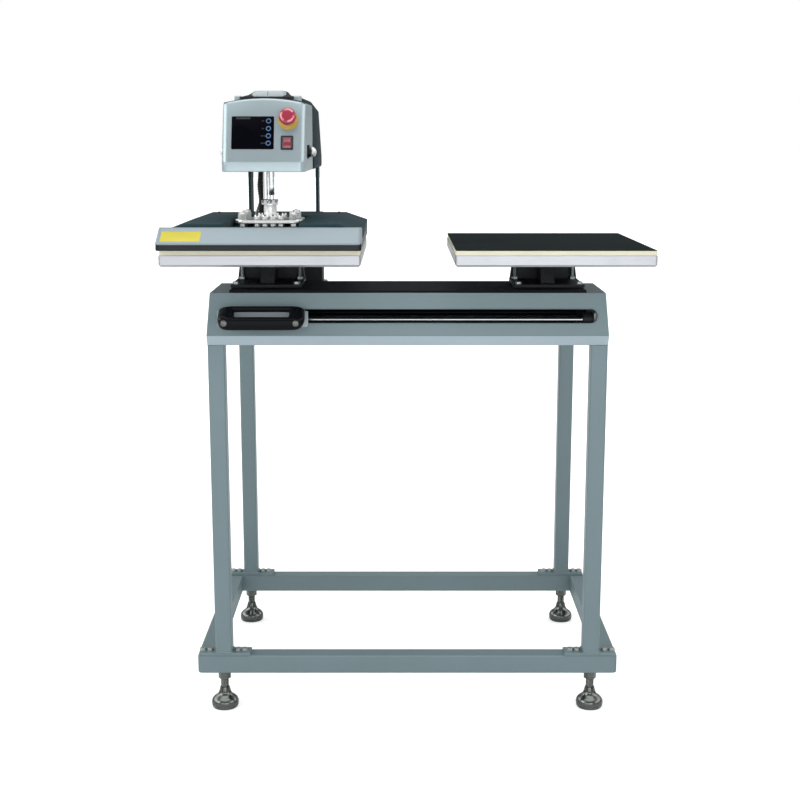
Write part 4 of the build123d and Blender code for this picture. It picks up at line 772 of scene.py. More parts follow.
class PRESS_OT_stand(bpy.types.Operator):
    """Paint of the stand, the beam and the pedestals"""

    bl_idname = "press.stand"
    bl_label = "Stand"

    def execute(self, context):
        coat(
            "stand_paint", "base_frame", "top_frame", "beam_shell", "beam_end_left", "beam_end_right",
            "leg_front_left", "leg_front_right", "leg_rear_left", "leg_rear_right",
        )
        coat("strip_paint", "pedestal_strip")
        coat("black_steel", "pedestal_left", "pedestal_right")
        coat("aluminium", "rear_track", "shaft_support_left", "shaft_support_right")
        coat("aluminium", "lower_platen_left", "lower_platen_right")
        coat("rubber", "stop_bumpers")
        self.slot_rim()
        self.shafts()
        return {"FINISHED"}

    def shafts(self):
        """The bright shaft behind the slot, and the one at the back of the beam, made dark as painted shade
        since it lies in shadow.
        """
        low, high = mm_box("guide_shafts")
        radius = (high.z - low.z) / 2
        for name, material, depth in (
            ("guide_shaft_front", "shaft", low.y + radius),
            ("guide_shaft_back", "shaded_steel", high.y - radius),
        ):
            place = facing(low.x, depth, low.z + radius, (1, 0, 0))
            end = high.x - low.x
            form = Form()
            form.lathe(
                place, [(radius - 1.0, 0.0), (radius, 1.0), (radius, end - 1.0), (radius - 1.0, end)], 48
            )
            form.build(name, material, "stand", ["guide_shafts"], "polished_steel", 40.0)

    def slot_rim(self):
        """A rolled bead round the long slot, on the leaning front of the beam."""
        low, high = mm_box("beam_shell")
        nose_z = low.z + NOSE_RISE
        slope = math.atan2(BEAM_TOP_D - NOSE_D, high.z - nose_z)
        middle_z = (SLOT_LOW_Z + SLOT_HIGH_Z) / 2
        depth = NOSE_D + (middle_z - nose_z) * math.tan(slope)
        half_height = (SLOT_HIGH_Z - SLOT_LOW_Z) / 2
        reach = half_height / math.cos(slope) + sizes().rim / 2
        centre_x = (low.x + high.x) / 2
        face = spot(centre_x, depth, middle_z) @ Matrix.Rotation(math.pi / 2 - slope, 4, "X")
        bead = arc((0.0, 0.0), sizes().rim / 2, 0, 180, 6)
        form, rings = Form(), []
        for side in (1, -1):
            for x, y in arc((0.0, 0.0), 1.0, -90 * side, 180 - 90 * side, 14):
                out = Vector((x, y, 0.0))
                base = Vector((side * (SLOT_HALF - half_height), 0.0, 0.0)) + out * reach
                rings.append(form.ring(face, [base + out * r + Vector((0, 0, up)) for r, up in bead]))
        form.loft(rings + rings[:1], closed=False)
        form.build("slot_rim", "stand_paint", "stand", slot="stand_paint", smooth=60.0)
        self.lower_lip(low, high, centre_x)

    def lower_lip(self, low, high, centre_x):
        """A paler strip over the turned-under edge of the beam: a painted highlight where the lower bevel
        catches the light.
        """
        end_x = mm_box("beam_end_right")[1].x
        nose_z = low.z + NOSE_RISE
        form, rings = Form(), []
        for share, out in ((0.04, 0.0), (0.04, 0.5), (0.96, 0.5), (0.96, 0.0)):
            z = nose_z - NOSE_RISE * share
            half = end_x - centre_x - END_FLARE * (z - low.z) / (high.z - low.z) - 0.4
            place = (NOSE_D + LIP_DEPTH * share - out * 0.74, z - out * 0.67)
            rings.append(form.ring(spot(), [(centre_x - half, *place), (centre_x + half, *place)]))
        form.loft(rings, closed=False)
        form.build("beam_lower_lip", "lip_highlight_paint", "stand", slot="stand_paint", smooth=30.0)


class PRESS_OT_feet(bpy.types.Operator):
    """Levelling feet: a plated bell and a threaded stem, and lock nuts that stay with the stand"""

    bl_idname = "press.feet"
    bl_label = "Levelling feet"

    def execute(self, context):
        nuts = Form()
        for end in ("front", "rear"):
            for side in ("left", "right"):
                self.foot(f"foot_{end}_{side}", nuts)
        nuts.build("foot_lock_nuts", "nickel", "stand", slot="zinc_steel", smooth=35.0)
        return {"FINISHED"}

    def foot(self, node, nuts):
        """One foot, and its nut under the frame."""
        low, high = mm_box(node)
        centre = spot((low.x + high.x) / 2, (low.y + high.y) / 2, low.z)
        tall = high.z - low.z
        bell = [
            (24.5, 0.0), (26.4, 0.5), (27.6, 2.0), (28.3, 4.6), (28.4, 5.4), (27.9, 5.9), (27.9, 6.5),
            (28.6, 7.0), (29.0, 9.5), (29.0, 12.5), (28.4, 15.6), (27.0, 18.6), (24.4, 21.8),
            (20.6, 24.8), (17.2, 27.4), (14.8, 30.0), (13.4, 33.0), (12.7, 34.6), (11.6, 35.0),
            (11.6, 36.2), (12.2, 36.8), (11.4, 40.0), (10.4, 43.6), (9.8, 45.6), (9.2, 46.0), (8.0, 46.2),
        ]
        stem = threaded(8.3, 46.4, tall - 2.0, sizes().thread)
        form = Form()
        form.lathe(centre, bell + stem + [(7.0, tall)], 56)
        form.build(node + "_plated", "nickel", node, [node], "zinc_steel", 35.0)
        nut_low, nut_high = 65.0, 81.7
        nuts.hexagon(centre, 23.0, nut_low, nut_high, bore=8.7)


class PRESS_OT_frame_bolts(bpy.types.Operator):
    """Bolts and studs of the stand, with washers and threads"""

    bl_idname = "press.frame_bolts"
    bl_label = "Frame bolts"

    # Bolts and studs of a pedestal: half their spacing across, and their depth
    foot_bolt = (63.0, 137.0)
    head_bolt = (38.5, 190.0)
    stud = (61.0, 243.0)

    def execute(self, context):
        form, welds = Form(), Form()
        left, right = mm_box("leg_front_left"), mm_box("leg_front_right")
        plate_z = left[0].z + 6.0
        middle_x = (left[0].x + right[1].x) / 2
        tube_half = 393.5
        for side in (-1, 1):
            for node in ("leg_front_left", "leg_rear_left"):
                low, high = mm_box(node)
                leg = spot(middle_x + side * tube_half, (low.y + high.y) / 2, plate_z)
                for outward in (46.0, 31.0, -29.0, -43.0):
                    self.bolt(form, leg @ Matrix.Translation((side * outward, 0, 0)), 5.5)
                self.weld(welds, leg)
        for node in ("left", "right"):
            low, high = mm_box("pedestal_" + node)
            x0 = (low.x + high.x) / 2
            foot_z, head_z = low.z + 6.0, high.z - 6.0
            for side in (-1, 1):
                for (x, d), z, height in ((self.foot_bolt, foot_z, 5.5), (self.head_bolt, head_z, -5.5)):
                    self.bolt(form, spot(x0 + side * x, d, z), height)
                stud = spot(x0 + side * self.stud[0], self.stud[1])
                form.lathe(stud, threaded(4.0, foot_z, head_z, 1.25, 0.35), 20)
                form.hexagon(stud, 13.0, foot_z, foot_z + 5.5)
                form.hexagon(stud, 13.0, head_z - 5.5, head_z)
        form.build("frame_bolts_zinc", "zinc_dull", "stand", ["frame_bolts"], "zinc_steel", 35.0)
        welds.build("leg_welds", "stand_paint", "stand", slot="stand_paint", smooth=60.0)
        return {"FINISHED"}

    def weld(self, form, leg):
        """A weld bead round the foot of a leg, a little uneven as laid by hand."""
        rings = []
        for i, (x, y) in enumerate(rounded_rectangle(36.0, 36.0, 3.0, 12)):
            size = 2.2 + 0.5 * math.sin(i * 2.1)
            base = Vector((x, y, 0.0))
            out = base.normalized()
            bead = (
                (-1.2, 0.0), (size, 0.0), (size * 0.8, size * 0.55),
                (size * 0.35, size), (-1.2, size * 1.2),
            )
            rings.append(form.ring(leg, [base + out * r + Vector((0, 0, z)) for r, z in bead]))
        form.loft(rings + rings[:1], caps=False)

    def bolt(self, form, place, height, across=13.0):
        """A hexagon head on its washer; a negative height hangs below the place."""
        if height < 0:
            place = place @ Matrix.Rotation(math.pi, 4, "X")
        washer = [(0.55, 0.0), (0.62, 0.3), (0.62, 1.1), (0.5, 1.3)]
        form.lathe(place, [(across * share, z) for share, z in washer], 28)
        form.hexagon(place, across, 1.2, abs(height))


class PRESS_OT_handle(bpy.types.Operator):
    """Push handle: a glossy moulded loop with socket screws"""

    bl_idname = "press.handle"
    bl_label = "Push handle"

    def execute(self, context):
        low, high = mm_box("push_handle")
        half = (high.x - low.x) / 2
        front_d, rear_d = low.y, high.y - 0.2
        grip_d, bar_d = low.y + 12.0, high.y - 5.5
        # Widths of the front grip, the back bar and the two sides, seen from above
        grip_wide, bar_wide, side_wide = 24.0, 11.0, 32.0
        # Height of the grip, and how far the undersides of the bar and of the sides' ends are raised
        grip_tall, bar_lift, side_lift = 26.0, 31.0, 9.0
        end_radius = 20.0
        section = [self.softened(c, s) for c, s in circle(20)]
        path = self.centre_line(grip_d, bar_d)
        form, rings = Form(), []
        for i, (x, d) in enumerate(path):
            ahead, behind = path[(i + 1) % len(path)], path[i - 1]
            along = Vector((ahead[0] - behind[0], ahead[1] - behind[1])).normalized()
            out = Vector((along.y, -along.x))
            back = min(1.0, max(0.0, (d - grip_d) / (bar_d - grip_d)))
            back = back * back * (3 - 2 * back)
            sideways = abs(out.x)
            swell = sideways * (1 - sideways) * (1 - back)
            width = grip_wide * (1 - back) + bar_wide * back
            width += (side_wide - width) * sideways**2 + 60.0 * swell
            bottom = low.z + back * bar_lift * (1 - sideways) + back * sideways * side_lift
            top = low.z + grip_tall + back * (high.z - low.z - grip_tall)
            ring = []
            for c, s in section:
                reach = c * width / 2 - 18.0 * swell
                px = max(-half - 2.0, min(half + 2.0, x + out.x * reach))
                py = max(front_d, min(rear_d, d + out.y * reach))
                end = min(end_radius, max(0.0, abs(px) - (half - 19.0)))
                under = low.z + end_radius - math.sqrt(end_radius**2 - end**2)
                ring.append((px, py, max((top + bottom) / 2 + s * (top - bottom) / 2, under)))
            rings.append(form.ring(spot(), ring))
        form.loft(rings + rings[:1], caps=False)
        form.build("push_handle_gloss", "handle_black", "shuttle", ["push_handle"], "handle_plastic", 80.0)
        self.screws(front_d, low.z + 15.0)
        return {"FINISHED"}

    def softened(self, c, s):
        """A point of a circle moved out to a square with soft corners."""
        return math.copysign(abs(c) ** 0.56, c), math.copysign(abs(s) ** 0.56, s)

    def centre_line(self, grip_d, bar_d):
        """The middle of the loop, as points across and back: rounded corners and two straight runs."""
        corner, squash_back, squash_front = 14.0, 0.6, 0.85
        straight = 71.0 - corner
        path = []
        for x, start in ((straight, 0), (-straight, 90), (-straight, 180), (straight, 270)):
            squash = squash_back if start < 180 else squash_front
            d = bar_d - corner * squash if start < 180 else grip_d + corner * squash
            path += [(x + px, d + py * squash) for px, py in arc((0.0, 0.0), corner, start, start + 90, 8)]
            if start in (0, 180):
                way = -1 if start == 0 else 1
                path += [(way * straight * (2 * i / 7 - 1), d - way * corner * squash) for i in range(1, 7)]
        return path

    def screws(self, front_d, grip_z):
        """Button head screws in the grip, and those that hold the carriage."""
        form = Form()
        head = [
            (6.6, 0.0), (6.6, 0.8), (6.1, 2.0), (5.2, 2.9), (4.0, 3.2), (3.2, 3.2), (3.0, 0.6), (0.4, 0.6),
        ]
        for x in (-71.0, 71.0):
            form.lathe(facing(x, front_d, grip_z, (0, -1, 0)), head, 32)
        plate_z = mm_box("arm_plate_left")[0].z
        for x in (-60.0, 60.0):
            for depth in (330.0, 570.0):
                form.lathe(spot(x, depth, plate_z), head, 32)
        form.build("carriage_screws_plated", "nickel", "shuttle", ["carriage_screws"], "zinc_steel", 40.0)


class PRESS_OT_pads(bpy.types.Operator):
    """Silicone sponge pads with a black cover on top"""

    bl_idname = "press.pads"
    bl_label = "Pads"

    def execute(self, context):
        for side in ("left", "right"):
            low, high = mm_box("pad_" + side)
            centre = spot((low.x + high.x) / 2, (low.y + high.y) / 2, 0)
            width, depth = high.x - low.x, high.y - low.y
            skin_z = high.z - sizes().cloth

            def levels(*rows):
                return [
                    (rounded_rectangle(width - 2 * inset, depth - 2 * inset, 5.0 - inset * 0.5, 8), z)
                    for inset, z in rows
                ]

            form = Form()
            form.stack(centre, levels(
                (0.8, low.z), (0.2, low.z + 0.8), (0.35, low.z + 3.0), (0.5, low.z + 5.0),
                (0.35, skin_z - 2.0), (0.1, skin_z),
            ))
            pad = form.build(f"pad_{side}_sponge", "silicone", "stand", ["pad_" + side], "silicone", 40.0)
            form = Form()
            form.stack(centre, levels((0.0, skin_z), (0.0, high.z - 0.5), (0.5, high.z - 0.1), (1.4, high.z)))
            form.build(f"pad_{side}_cover", "cloth_black", "stand", slot="silicone", smooth=50.0)
        return {"FINISHED"}


def arch_z(x):
    """Height of the arched top of the head's front, on a circle."""
    rise, half_span, crown = 11.0, 90.0, PANEL_TOP_Z + 8.0
    radius = (half_span**2 + rise**2) / (2 * rise)
    return crown - (radius - math.sqrt(radius**2 - x**2))


def half_round(half, front_d, corner, run):
    """One side of a cover that is open behind: straight depths, then a rounded corner."""
    return [(half, d) for d in run] + arc((half - corner, front_d + corner), corner, 0, -90, 7)


def spread(half, columns):
    """Equally spaced places from one side to the other, without the ends."""
    return [half * (1 - 2 * i / columns) for i in range(1, columns)]


def hood(form, levels, back_d, corner, columns=20):
    """An arched cover that is open behind and closed on top.

    Each level has a half width, a front distance and a function for the height at a place across.
    """
    rings = []
    for half, front_d, height in levels:
        run = (back_d, (back_d * 2 + front_d) / 3, (back_d + front_d * 2) / 3)
        side = half_round(half, front_d, corner, run)
        points = side + [(x, front_d) for x in spread(half - corner, columns)]
        points += [(-x, d) for x, d in reversed(side)]
        rings.append(form.ring(spot(), [(x, d, height(x)) for x, d in points]))
    form.loft(rings, closed=False)
    last, rows = rings[-1], []
    for i, (x, d) in enumerate(side[:-1]):
        inner = [(place, d, height(place)) for place in spread(x, columns)]
        rows.append([last[i], *form.ring(spot(), inner), last[-1 - i]])
    rows.append(last[len(side) - 1:len(last) - len(side) + 1])
    form.loft(rows, closed=False)


class PRESS_OT_head_front(bpy.types.Operator):
    """Front shell of the head: rounded corners, a fold and an arched top"""

    bl_idname = "press.head_front"
    bl_label = "Head front"

    def execute(self, context):
        low, high = mm_box("front_shell")
        half = (high.x - low.x) / 2
        corner = sizes().shell_corner

        def lean_d(z):
            return FOLD_D + (z - FOLD_Z) * math.tan(LEAN)

        def flat(z, inset=0.0, out=0.0):
            return half - inset, max(FOLD_D, lean_d(z)) + out, lambda x: z

        levels = [flat(low.z, 0.8, 0.8), flat(low.z + 0.9), flat(FOLD_Z - 1.5), flat(FOLD_Z + 1.0, 0.0, 0.15)]
        levels += [flat(FOLD_Z + up) for up in (3.0, 50.0, 90.0)]
        for inset, drop in ((0.0, 4.0), (0.35, 2.2), (1.2, 0.9), (2.4, 0.2), (4.0, 0.0)):
            top_d = lean_d(PANEL_TOP_Z + 3.0 - drop) + inset
            levels.append((half - inset, top_d, lambda x, drop=drop: arch_z(x) - drop))
        form = Form()
        hood(form, levels, high.y, corner)
        shell = form.build("front_shell_painted", "head_paint", thick=2.0, smooth=50.0)
        cutter = Form()
        for side in (-1, 1):
            where = facing(side * (half - 7.0), 224.0, 189.0, (side, 0, 0))
            cutter.prism(where, rounded_rectangle(92.0, 28.0, 5.0), 0.0, 14.0)
        settle(shell)
        carve(shell, cutter)
        join(shell, "shuttle", ["front_shell"])
        return {"FINISHED"}


class PRESS_OT_head_back(bpy.types.Operator):
    """Dark rear cover of the head, with its inlet and screws"""

    bl_idname = "press.head_back"
    bl_label = "Head back"

    def execute(self, context):
        low, high = mm_box("rear_cover")
        half = (high.x - low.x) / 2
        shoulder = half - 6.0
        right = [
            (half - 2.0, low.z), (half, low.z + 4.0), (half, low.z + 24.0), (shoulder, high.z - 26.0),
            (shoulder - 18.0, high.z - 3.0), (shoulder - 24.0, high.z), (0.0, high.z),
        ]
        right = eased(right, 7.0)
        outline = right + [(-x, z) for x, z in reversed(right[:-1])]

        def shrunk(inset, depth):
            out = []
            for x, z in outline:
                scale_z = 1 - inset / (high.z - low.z) if z > low.z + 1 else 1.0
                out.append((x * (1 - inset / half), depth, low.z + (z - low.z) * scale_z))
            return out

        form = Form()
        rings = []
        for inset, depth in (
            (7.0, low.y + 0.3), (2.0, low.y + 0.3), (0.5, low.y + 0.9), (0.0, low.y + 2.2),
            (0.0, high.y - 5.0), (0.5, high.y - 2.4), (1.6, high.y - 0.8), (3.4, high.y), (10.0, high.y),
        ):
            rings.append(form.ring(spot(), shrunk(inset, depth)))
        form.loft(rings, closed=False)
        form.mesh.faces.new(rings[-1])
        cover = form.build("rear_cover_gloss", "slate_paint", thick=sizes().sheet, smooth=35.0)
        inlet_low, inlet_high = mm_box("power_inlet")
        cutter = Form()
        cutter.box(
            spot(), (inlet_low.x + 2.5, inlet_low.y, inlet_low.z + 6.5),
            (inlet_high.x - 2.5, inlet_high.y + 5.0, inlet_high.z - 6.5), 0.5,
        )
        settle(cover)
        carve(cover, cutter)
        join(cover, "shuttle", ["rear_cover"])
        coat("black_plastic", "power_inlet")
        self.cover_screws(low, high)
        return {"FINISHED"}

    def cover_screws(self, low, high):
        """Screws that hold the back of the cover."""
        form = Form()
        head = [(3.6, 0.0), (3.6, 0.3), (2.4, 0.9), (1.4, 1.1), (1.1, 0.5), (0.3, 0.5)]
        for x in (-68.0, 68.0):
            for z in (low.z + 14.0, high.z - 44.0):
                form.lathe(facing(x, high.y - 0.2, z, (0, 1, 0)), head, 24)
        form.build("rear_cover_screws", "zinc", "shuttle", slot="zinc_steel", smooth=40.0)


class PRESS_OT_head_top(bpy.types.Operator):
    """Cap over the drive, its black plate and two small pads"""

    bl_idname = "press.head_top"
    bl_label = "Head top"

    def execute(self, context):
        low, high = mm_box("top_cap")
        plate_high = mm_box("actuator")[1]
        centre_d = (low.y + high.y) / 2
        width = high.x - low.x

        def outline(inset, shift, extra=0.0):
            wide = width - 2 * inset
            points = rounded_rectangle(wide + 2 * extra, wide, 15.0 - inset * 0.3, 8)
            return [(x + shift, y) for x, y in points]

        form = Form()
        levels = (
            (3.6, 3.2, low.z), (3.0, 3.2, low.z + 0.6), (3.6, 3.4, low.z + 2.0), (8.0, 4.8, high.z - 4.0),
            (10.2, 5.6, high.z - 1.4), (11.6, 6.0, high.z - 0.5), (15.0, 6.0, high.z),
        )
        form.stack(spot(0, centre_d), [(outline(inset, shift), z) for inset, shift, z in levels])
        cap = form.build("top_cap_silver", "cap_silver", smooth=50.0)
        groove = Form()
        groove.box(spot(2.4, centre_d), (-0.5, -60.0, low.z + 3.0), (0.5, 60.0, high.z + 1.0), 0.05)
        carve(cap, groove)
        form = Form()
        levels = (
            (-4.0, 2.5, 9.0, low.z + 0.2), (-3.4, 2.5, 9.0, low.z + 1.0), (2.0, 3.2, 1.6, low.z + 4.4),
            (8.0, 4.8, 1.9, high.z - 4.0), (10.4, 5.6, 1.9, high.z - 1.6), (13.0, 6.0, 1.6, high.z - 1.0),
        )
        form.stack(spot(0, centre_d + 7.0), [(outline(*level[:3]), level[3]) for level in levels])
        form.build("top_flare", "black_steel", "shuttle", slot="black_steel", smooth=30.0)
        join(cap, "shuttle", ["top_cap"])
        coat("black_steel", "actuator", "head_frame", "arm_housing")
        coat("cover_paint", "arm_plate_left", "arm_plate_right")
        coat("bracket", "carriage_plate", "linear_bearings")
        coat("black_plastic", "rear_glide")
        coat("board", "control_board")
        self.small_pads(plate_high)
        self.gasket()
        return {"FINISHED"}

    def small_pads(self, plate_high):
        """Low silver covers over the fixings at both sides of the plate."""
        form = Form()
        for x, width in ((-61.0, 15.0), (62.0, 19.0)):
            where = spot(x, plate_high.y - 76.0, 0)
            outline = rounded_rectangle(width, 22.0, 4.0, 5)
            inner = rounded_rectangle(width - 4.0, 17.0, 3.0, 5)
            z = plate_high.z
            form.stack(where, [(outline, z - 12.0), (outline, z + 0.6), (inner, z + 2.6)])
        form.build("top_fixings", "cap_silver", "shuttle", slot="silver_plastic", smooth=40.0)

    def gasket(self):
        """The dark seal that shows as a thin line over the arched top of the front."""
        form, rings = Form(), []
        half, front_d, back_d = 83.0, PANEL_TOP_D + 7.0, PANEL_TOP_D + 16.0
        for i in range(29):
            share = i / 28
            x = half * (2 * share - 1)
            top = arch_z(x) + 1.0 + 1.2 * share
            corners = ((front_d, top - 6.0), (front_d, top), (back_d, top), (back_d, top - 6.0))
            rings.append(form.ring(spot(), [(x, d, z) for d, z in corners]))
        form.loft(rings)
        form.build("front_gasket", "black_plastic", "shuttle", slot="black_plastic", smooth=30.0)


class PRESS_OT_screen(bpy.types.Operator):
    """Touch screen with plain ring marks"""

    bl_idname = "press.screen"
    bl_label = "Screen"

    def execute(self, context):
        centre = on_panel(*SCREEN_PLACE)
        width, height = 86.4, 70.4
        levels = ((1.0, 2.0, -3.0), (0.0, 2.4, 0.0), (0.0, 2.4, 0.5), (0.7, 2.1, 0.9), (1.6, 1.8, 1.0))
        form = Form()
        form.stack(centre, [
            (rounded_rectangle(width - less, height - less, corner), z) for less, corner, z in levels
        ])
        form.build("screen_panel_glass", "screen", "shuttle", ["screen_panel"], "screen_gloss", 30.0)
        glass = centre @ Matrix.Translation((0, 0, 1.0))
        rings, marks = Form(), Form()
        icon_x = width / 2 - 11.2
        ring = [(5.3, 0.0), (5.3, 0.12), (5.0, 0.2), (3.5, 0.2), (3.3, 0.0)]
        for up, reach in ((25.0, 5.0), (8.7, 5.0), (-7.0, 10.0), (-22.6, 10.0)):
            rings.lathe(glass @ Matrix.Translation((icon_x, up, 0.0)), ring, 36, caps=False)
            for k in range(3):
                x = icon_x - 12.0 + (k - 1) * reach / 3
                marks.box(glass, (x, up - 1.2, 0.0), (x + reach / 4, up + 1.2, 0.12), 0.05)
        left, top = -width / 2, height / 2
        marks.box(glass, (left + 9.0, top - 6.4, 0.0), (left + 38.0, top - 2.2, 0.12), 0.05)
        rings.build("screen_rings", "icon_blue", "shuttle", slot="screen_gloss", smooth=30.0)
        marks.build("screen_marks", "icon_grey", "shuttle", slot="screen_gloss", smooth=30.0)
        return {"FINISHED"}


class PRESS_OT_stop_button(bpy.types.Operator):
    """Emergency stop: yellow ring, stem and a red mushroom cap with three plain arcs"""

    bl_idname = "press.stop_button"
    bl_label = "Stop button"

    def execute(self, context):
        place = on_panel(*STOP_PLACE)
        form = Form()
        form.lathe(place, [
            (7.1, -20.0), (11.0, -20.0), (11.0, 0.1), (20.5, 0.1), (21.0, 0.6), (21.0, 1.9), (20.5, 2.4),
            (14.6, 2.5), (13.5, 3.0), (13.5, 6.0), (12.9, 6.5), (7.1, 6.5), (7.1, -20.0),
        ], 64, caps=False)
        form.build("stop_ring_yellow", "yellow_plastic", "shuttle", ["stop_ring"], "yellow_plastic", 40.0)
        coat("black_plastic", "stop_stem")
        form = Form()
        form.lathe(place, [
            (0.2, 20.2), (4.1, 20.2), (4.1, 14.06), (12.0, 14.06), (13.8, 14.3), (16.4, 16.4),
            (17.6, 18.2), (18.0, 20.0), (17.8, 22.2), (17.0, 24.2), (15.2, 26.0), (12.0, 27.2),
            (8.0, 27.5), (3.0, 27.45), (0.2, 27.4),
        ], 64)
        form.build("stop_cap_red", "red_plastic", "stop_cap", ["stop_cap"], "red_plastic", 40.0)
        form = Form()
        for middle_angle in (75.0, 195.0, 315.0):
            self.arc_mark(form, place, middle_angle)
        form.build("stop_cap_arcs", "pale_red", "stop_cap", slot="red_plastic", smooth=30.0)
        return {"FINISHED"}

    def arc_mark(self, form, place, middle_angle):
        """A raised arc that ends in a point, low on the crown of the cap."""
        steps, spread = 12, 42.0
        lower, upper = [], []
        for i in range(steps + 1):
            share = i / steps
            angle = math.radians(middle_angle - spread + 2 * spread * share)
            width = 1.5 if share < 0.8 else 2.9 * (1 - share) / 0.2 + 0.15
            for radius, side in ((12.6 - width, lower), (12.6 + width, upper)):
                crown = 27.45 - (radius - 9.0) * 0.08 - max(0.0, radius - 12.0) * 0.32
                side.append((radius * math.cos(angle), radius * math.sin(angle), crown))
        rings = []
        for row, lift in ((lower, -0.6), (upper, -0.6), (upper, 0.16), (lower, 0.16)):
            rings.append(form.ring(place, [(x, y, z + lift) for x, y, z in row]))
        form.loft(rings + rings[:1], closed=False)


class PRESS_OT_rocker(bpy.types.Operator):
    """Mains rocker in its bezel"""

    bl_idname = "press.rocker"
    bl_label = "Rocker"

    def execute(self, context):
        place = on_panel(*ROCKER_PLACE)
        width, height = 25.5, 30.0
        form = Form()
        outer = rounded_rectangle(width, height, 2.2)
        top = rounded_rectangle(width - 1.6, height - 1.6, 1.8)
        rim = rounded_rectangle(width - 6.4, height - 6.2, 1.0)
        well = rounded_rectangle(width - 7.6, height - 5.8, 0.6)
        levels = [(outer, 0.1), (outer, 1.2), (top, 2.2), (rim, 2.2), (well, 1.4), (well, -9.0)]
        form.stack(place, levels, caps=False)
        form.build("rocker_bezel_black", "black_plastic", "shuttle", ["rocker_bezel"], "black_plastic", 30.0)
        tilt = on_panel(*ROCKER_PLACE, -3.0) @ Matrix.Rotation(math.radians(9.0), 4, "X")
        half_w, half_h = 8.1, 10.0
        form, rows = Form(), []
        dish = [(half_h * share, 4.5 + 2.5 * share**2) for share in (i / 6 - 1 for i in range(13))]
        edge = ((-1, 0.0, 1.0), (-1, 0.4, 0.25), (-1, 1.0, 0.0), (1, 1.0, 0.0), (1, 0.4, 0.25), (1, 0.0, 1.0))
        for side, inset, drop in edge:
            x = side * (half_w - inset)
            row = [(x, -half_h, 0.0)] + [(x, y, z - drop) for y, z in dish] + [(x, half_h, 0.0)]
            rows.append(form.ring(tilt, row))
        form.loft(rows)
        form.build("rocker_button_red", "rocker_red", "rocker_button", ["rocker_button"], "red_plastic", 40.0)
        return {"FINISHED"}


class PRESS_OT_latches(bpy.types.Operator):
    """Quarter turn knobs: bright ovals with a slot"""

    bl_idname = "press.latches"
    bl_label = "Latches"

    def execute(self, context):
        shell_x, depth, height = 85.4, 225.0, 188.5
        crown = 16.1
        for name, side in (("left", -1), ("right", 1)):
            centre = facing(side * shell_x, depth, height, (side, 0, 0))
            form = Form()
            form.lathe(centre, [
                (4.0, 3.0), (9.6, 3.0), (10.0, 6.0), (10.5, 6.6), (10.5, 9.8), (10.1, 10.8), (9.0, 12.4),
                (7.2, 14.0), (5.0, 15.4), (2.4, 16.3), (0.2, 16.6),
            ], 48)
            knob = form.build(f"latch_{name}_knob", "zinc", smooth=50.0)
            form = Form()
            collar = [(4.0, -14.0), (4.0, 0.0), (10.5, 0.0), (10.5, 5.4), (9.9, 6.0), (4.0, 6.0)]
            form.lathe(centre, collar, 48)
            form.build(f"latch_{name}_collar", "black_plastic", "latch_" + name, slot="polished_steel")
            groove = Form()
            where = spot(side * (shell_x + crown), depth, height)
            groove.box(where, (-1.6, -1.0, -6.0), (1.6, 1.0, 6.0), 0.1)
            carve(knob, groove)
            join(knob, "latch_" + name, ["latch_" + name])
        return {"FINISHED"}


class PRESS_OT_rods(bpy.types.Operator):
    """Spindle, guide rod and the coupling under the head"""

    bl_idname = "press.rods"
    bl_label = "Rods"

    def execute(self, context):
        low, high = mm_box("spindle")
        x, d = (low.x + high.x) / 2, (low.y + high.y) / 2
        shoulder = mm_box("spindle_coupling")[1].z
        collars = (
            (4.9, 0.2), (4.9, 3.0), (6.1, 3.2), (6.1, 5.4), (4.9, 5.6), (4.9, 9.0), (6.0, 9.6), (6.5, 10.4),
            (6.5, 30.0), (6.5, 60.0),
        )
        profile = [(3.9, low.z), (3.9, shoulder)] + [(r, shoulder + up) for r, up in collars]
        form = Form()
        form.lathe(spot(x, d), profile + [(6.5, high.z)], 44)
        form.build("spindle_polished", "chrome", "press", ["spindle"], "polished_steel", 35.0)
        low, high = mm_box("guide_rod")
        profile = [(2.9, low.z), (2.9, shoulder), (4.4, shoulder + 0.2), (5.0, shoulder + 1.0), (5.0, high.z)]
        form = Form()
        form.lathe(spot((low.x + high.x) / 2, d), profile, 36)
        form.build("guide_rod_polished", "chrome", "press", ["guide_rod"], "polished_steel", 35.0)
        low, high = mm_box("spindle_coupling")
        form = Form()
        place = spot(0, d)
        form.hexagon(place, 35.0, low.z + 2.0, high.z, 30.0)
        skirt = [(13.0, 0.0), (16.6, 0.3), (17.3, 1.0), (17.3, 2.2)]
        form.lathe(place, [(r, low.z + up) for r, up in skirt], 48)
        form.build("coupling_plated", "chrome", "press", ["spindle_coupling"], "polished_steel", 30.0)
        return {"FINISHED"}


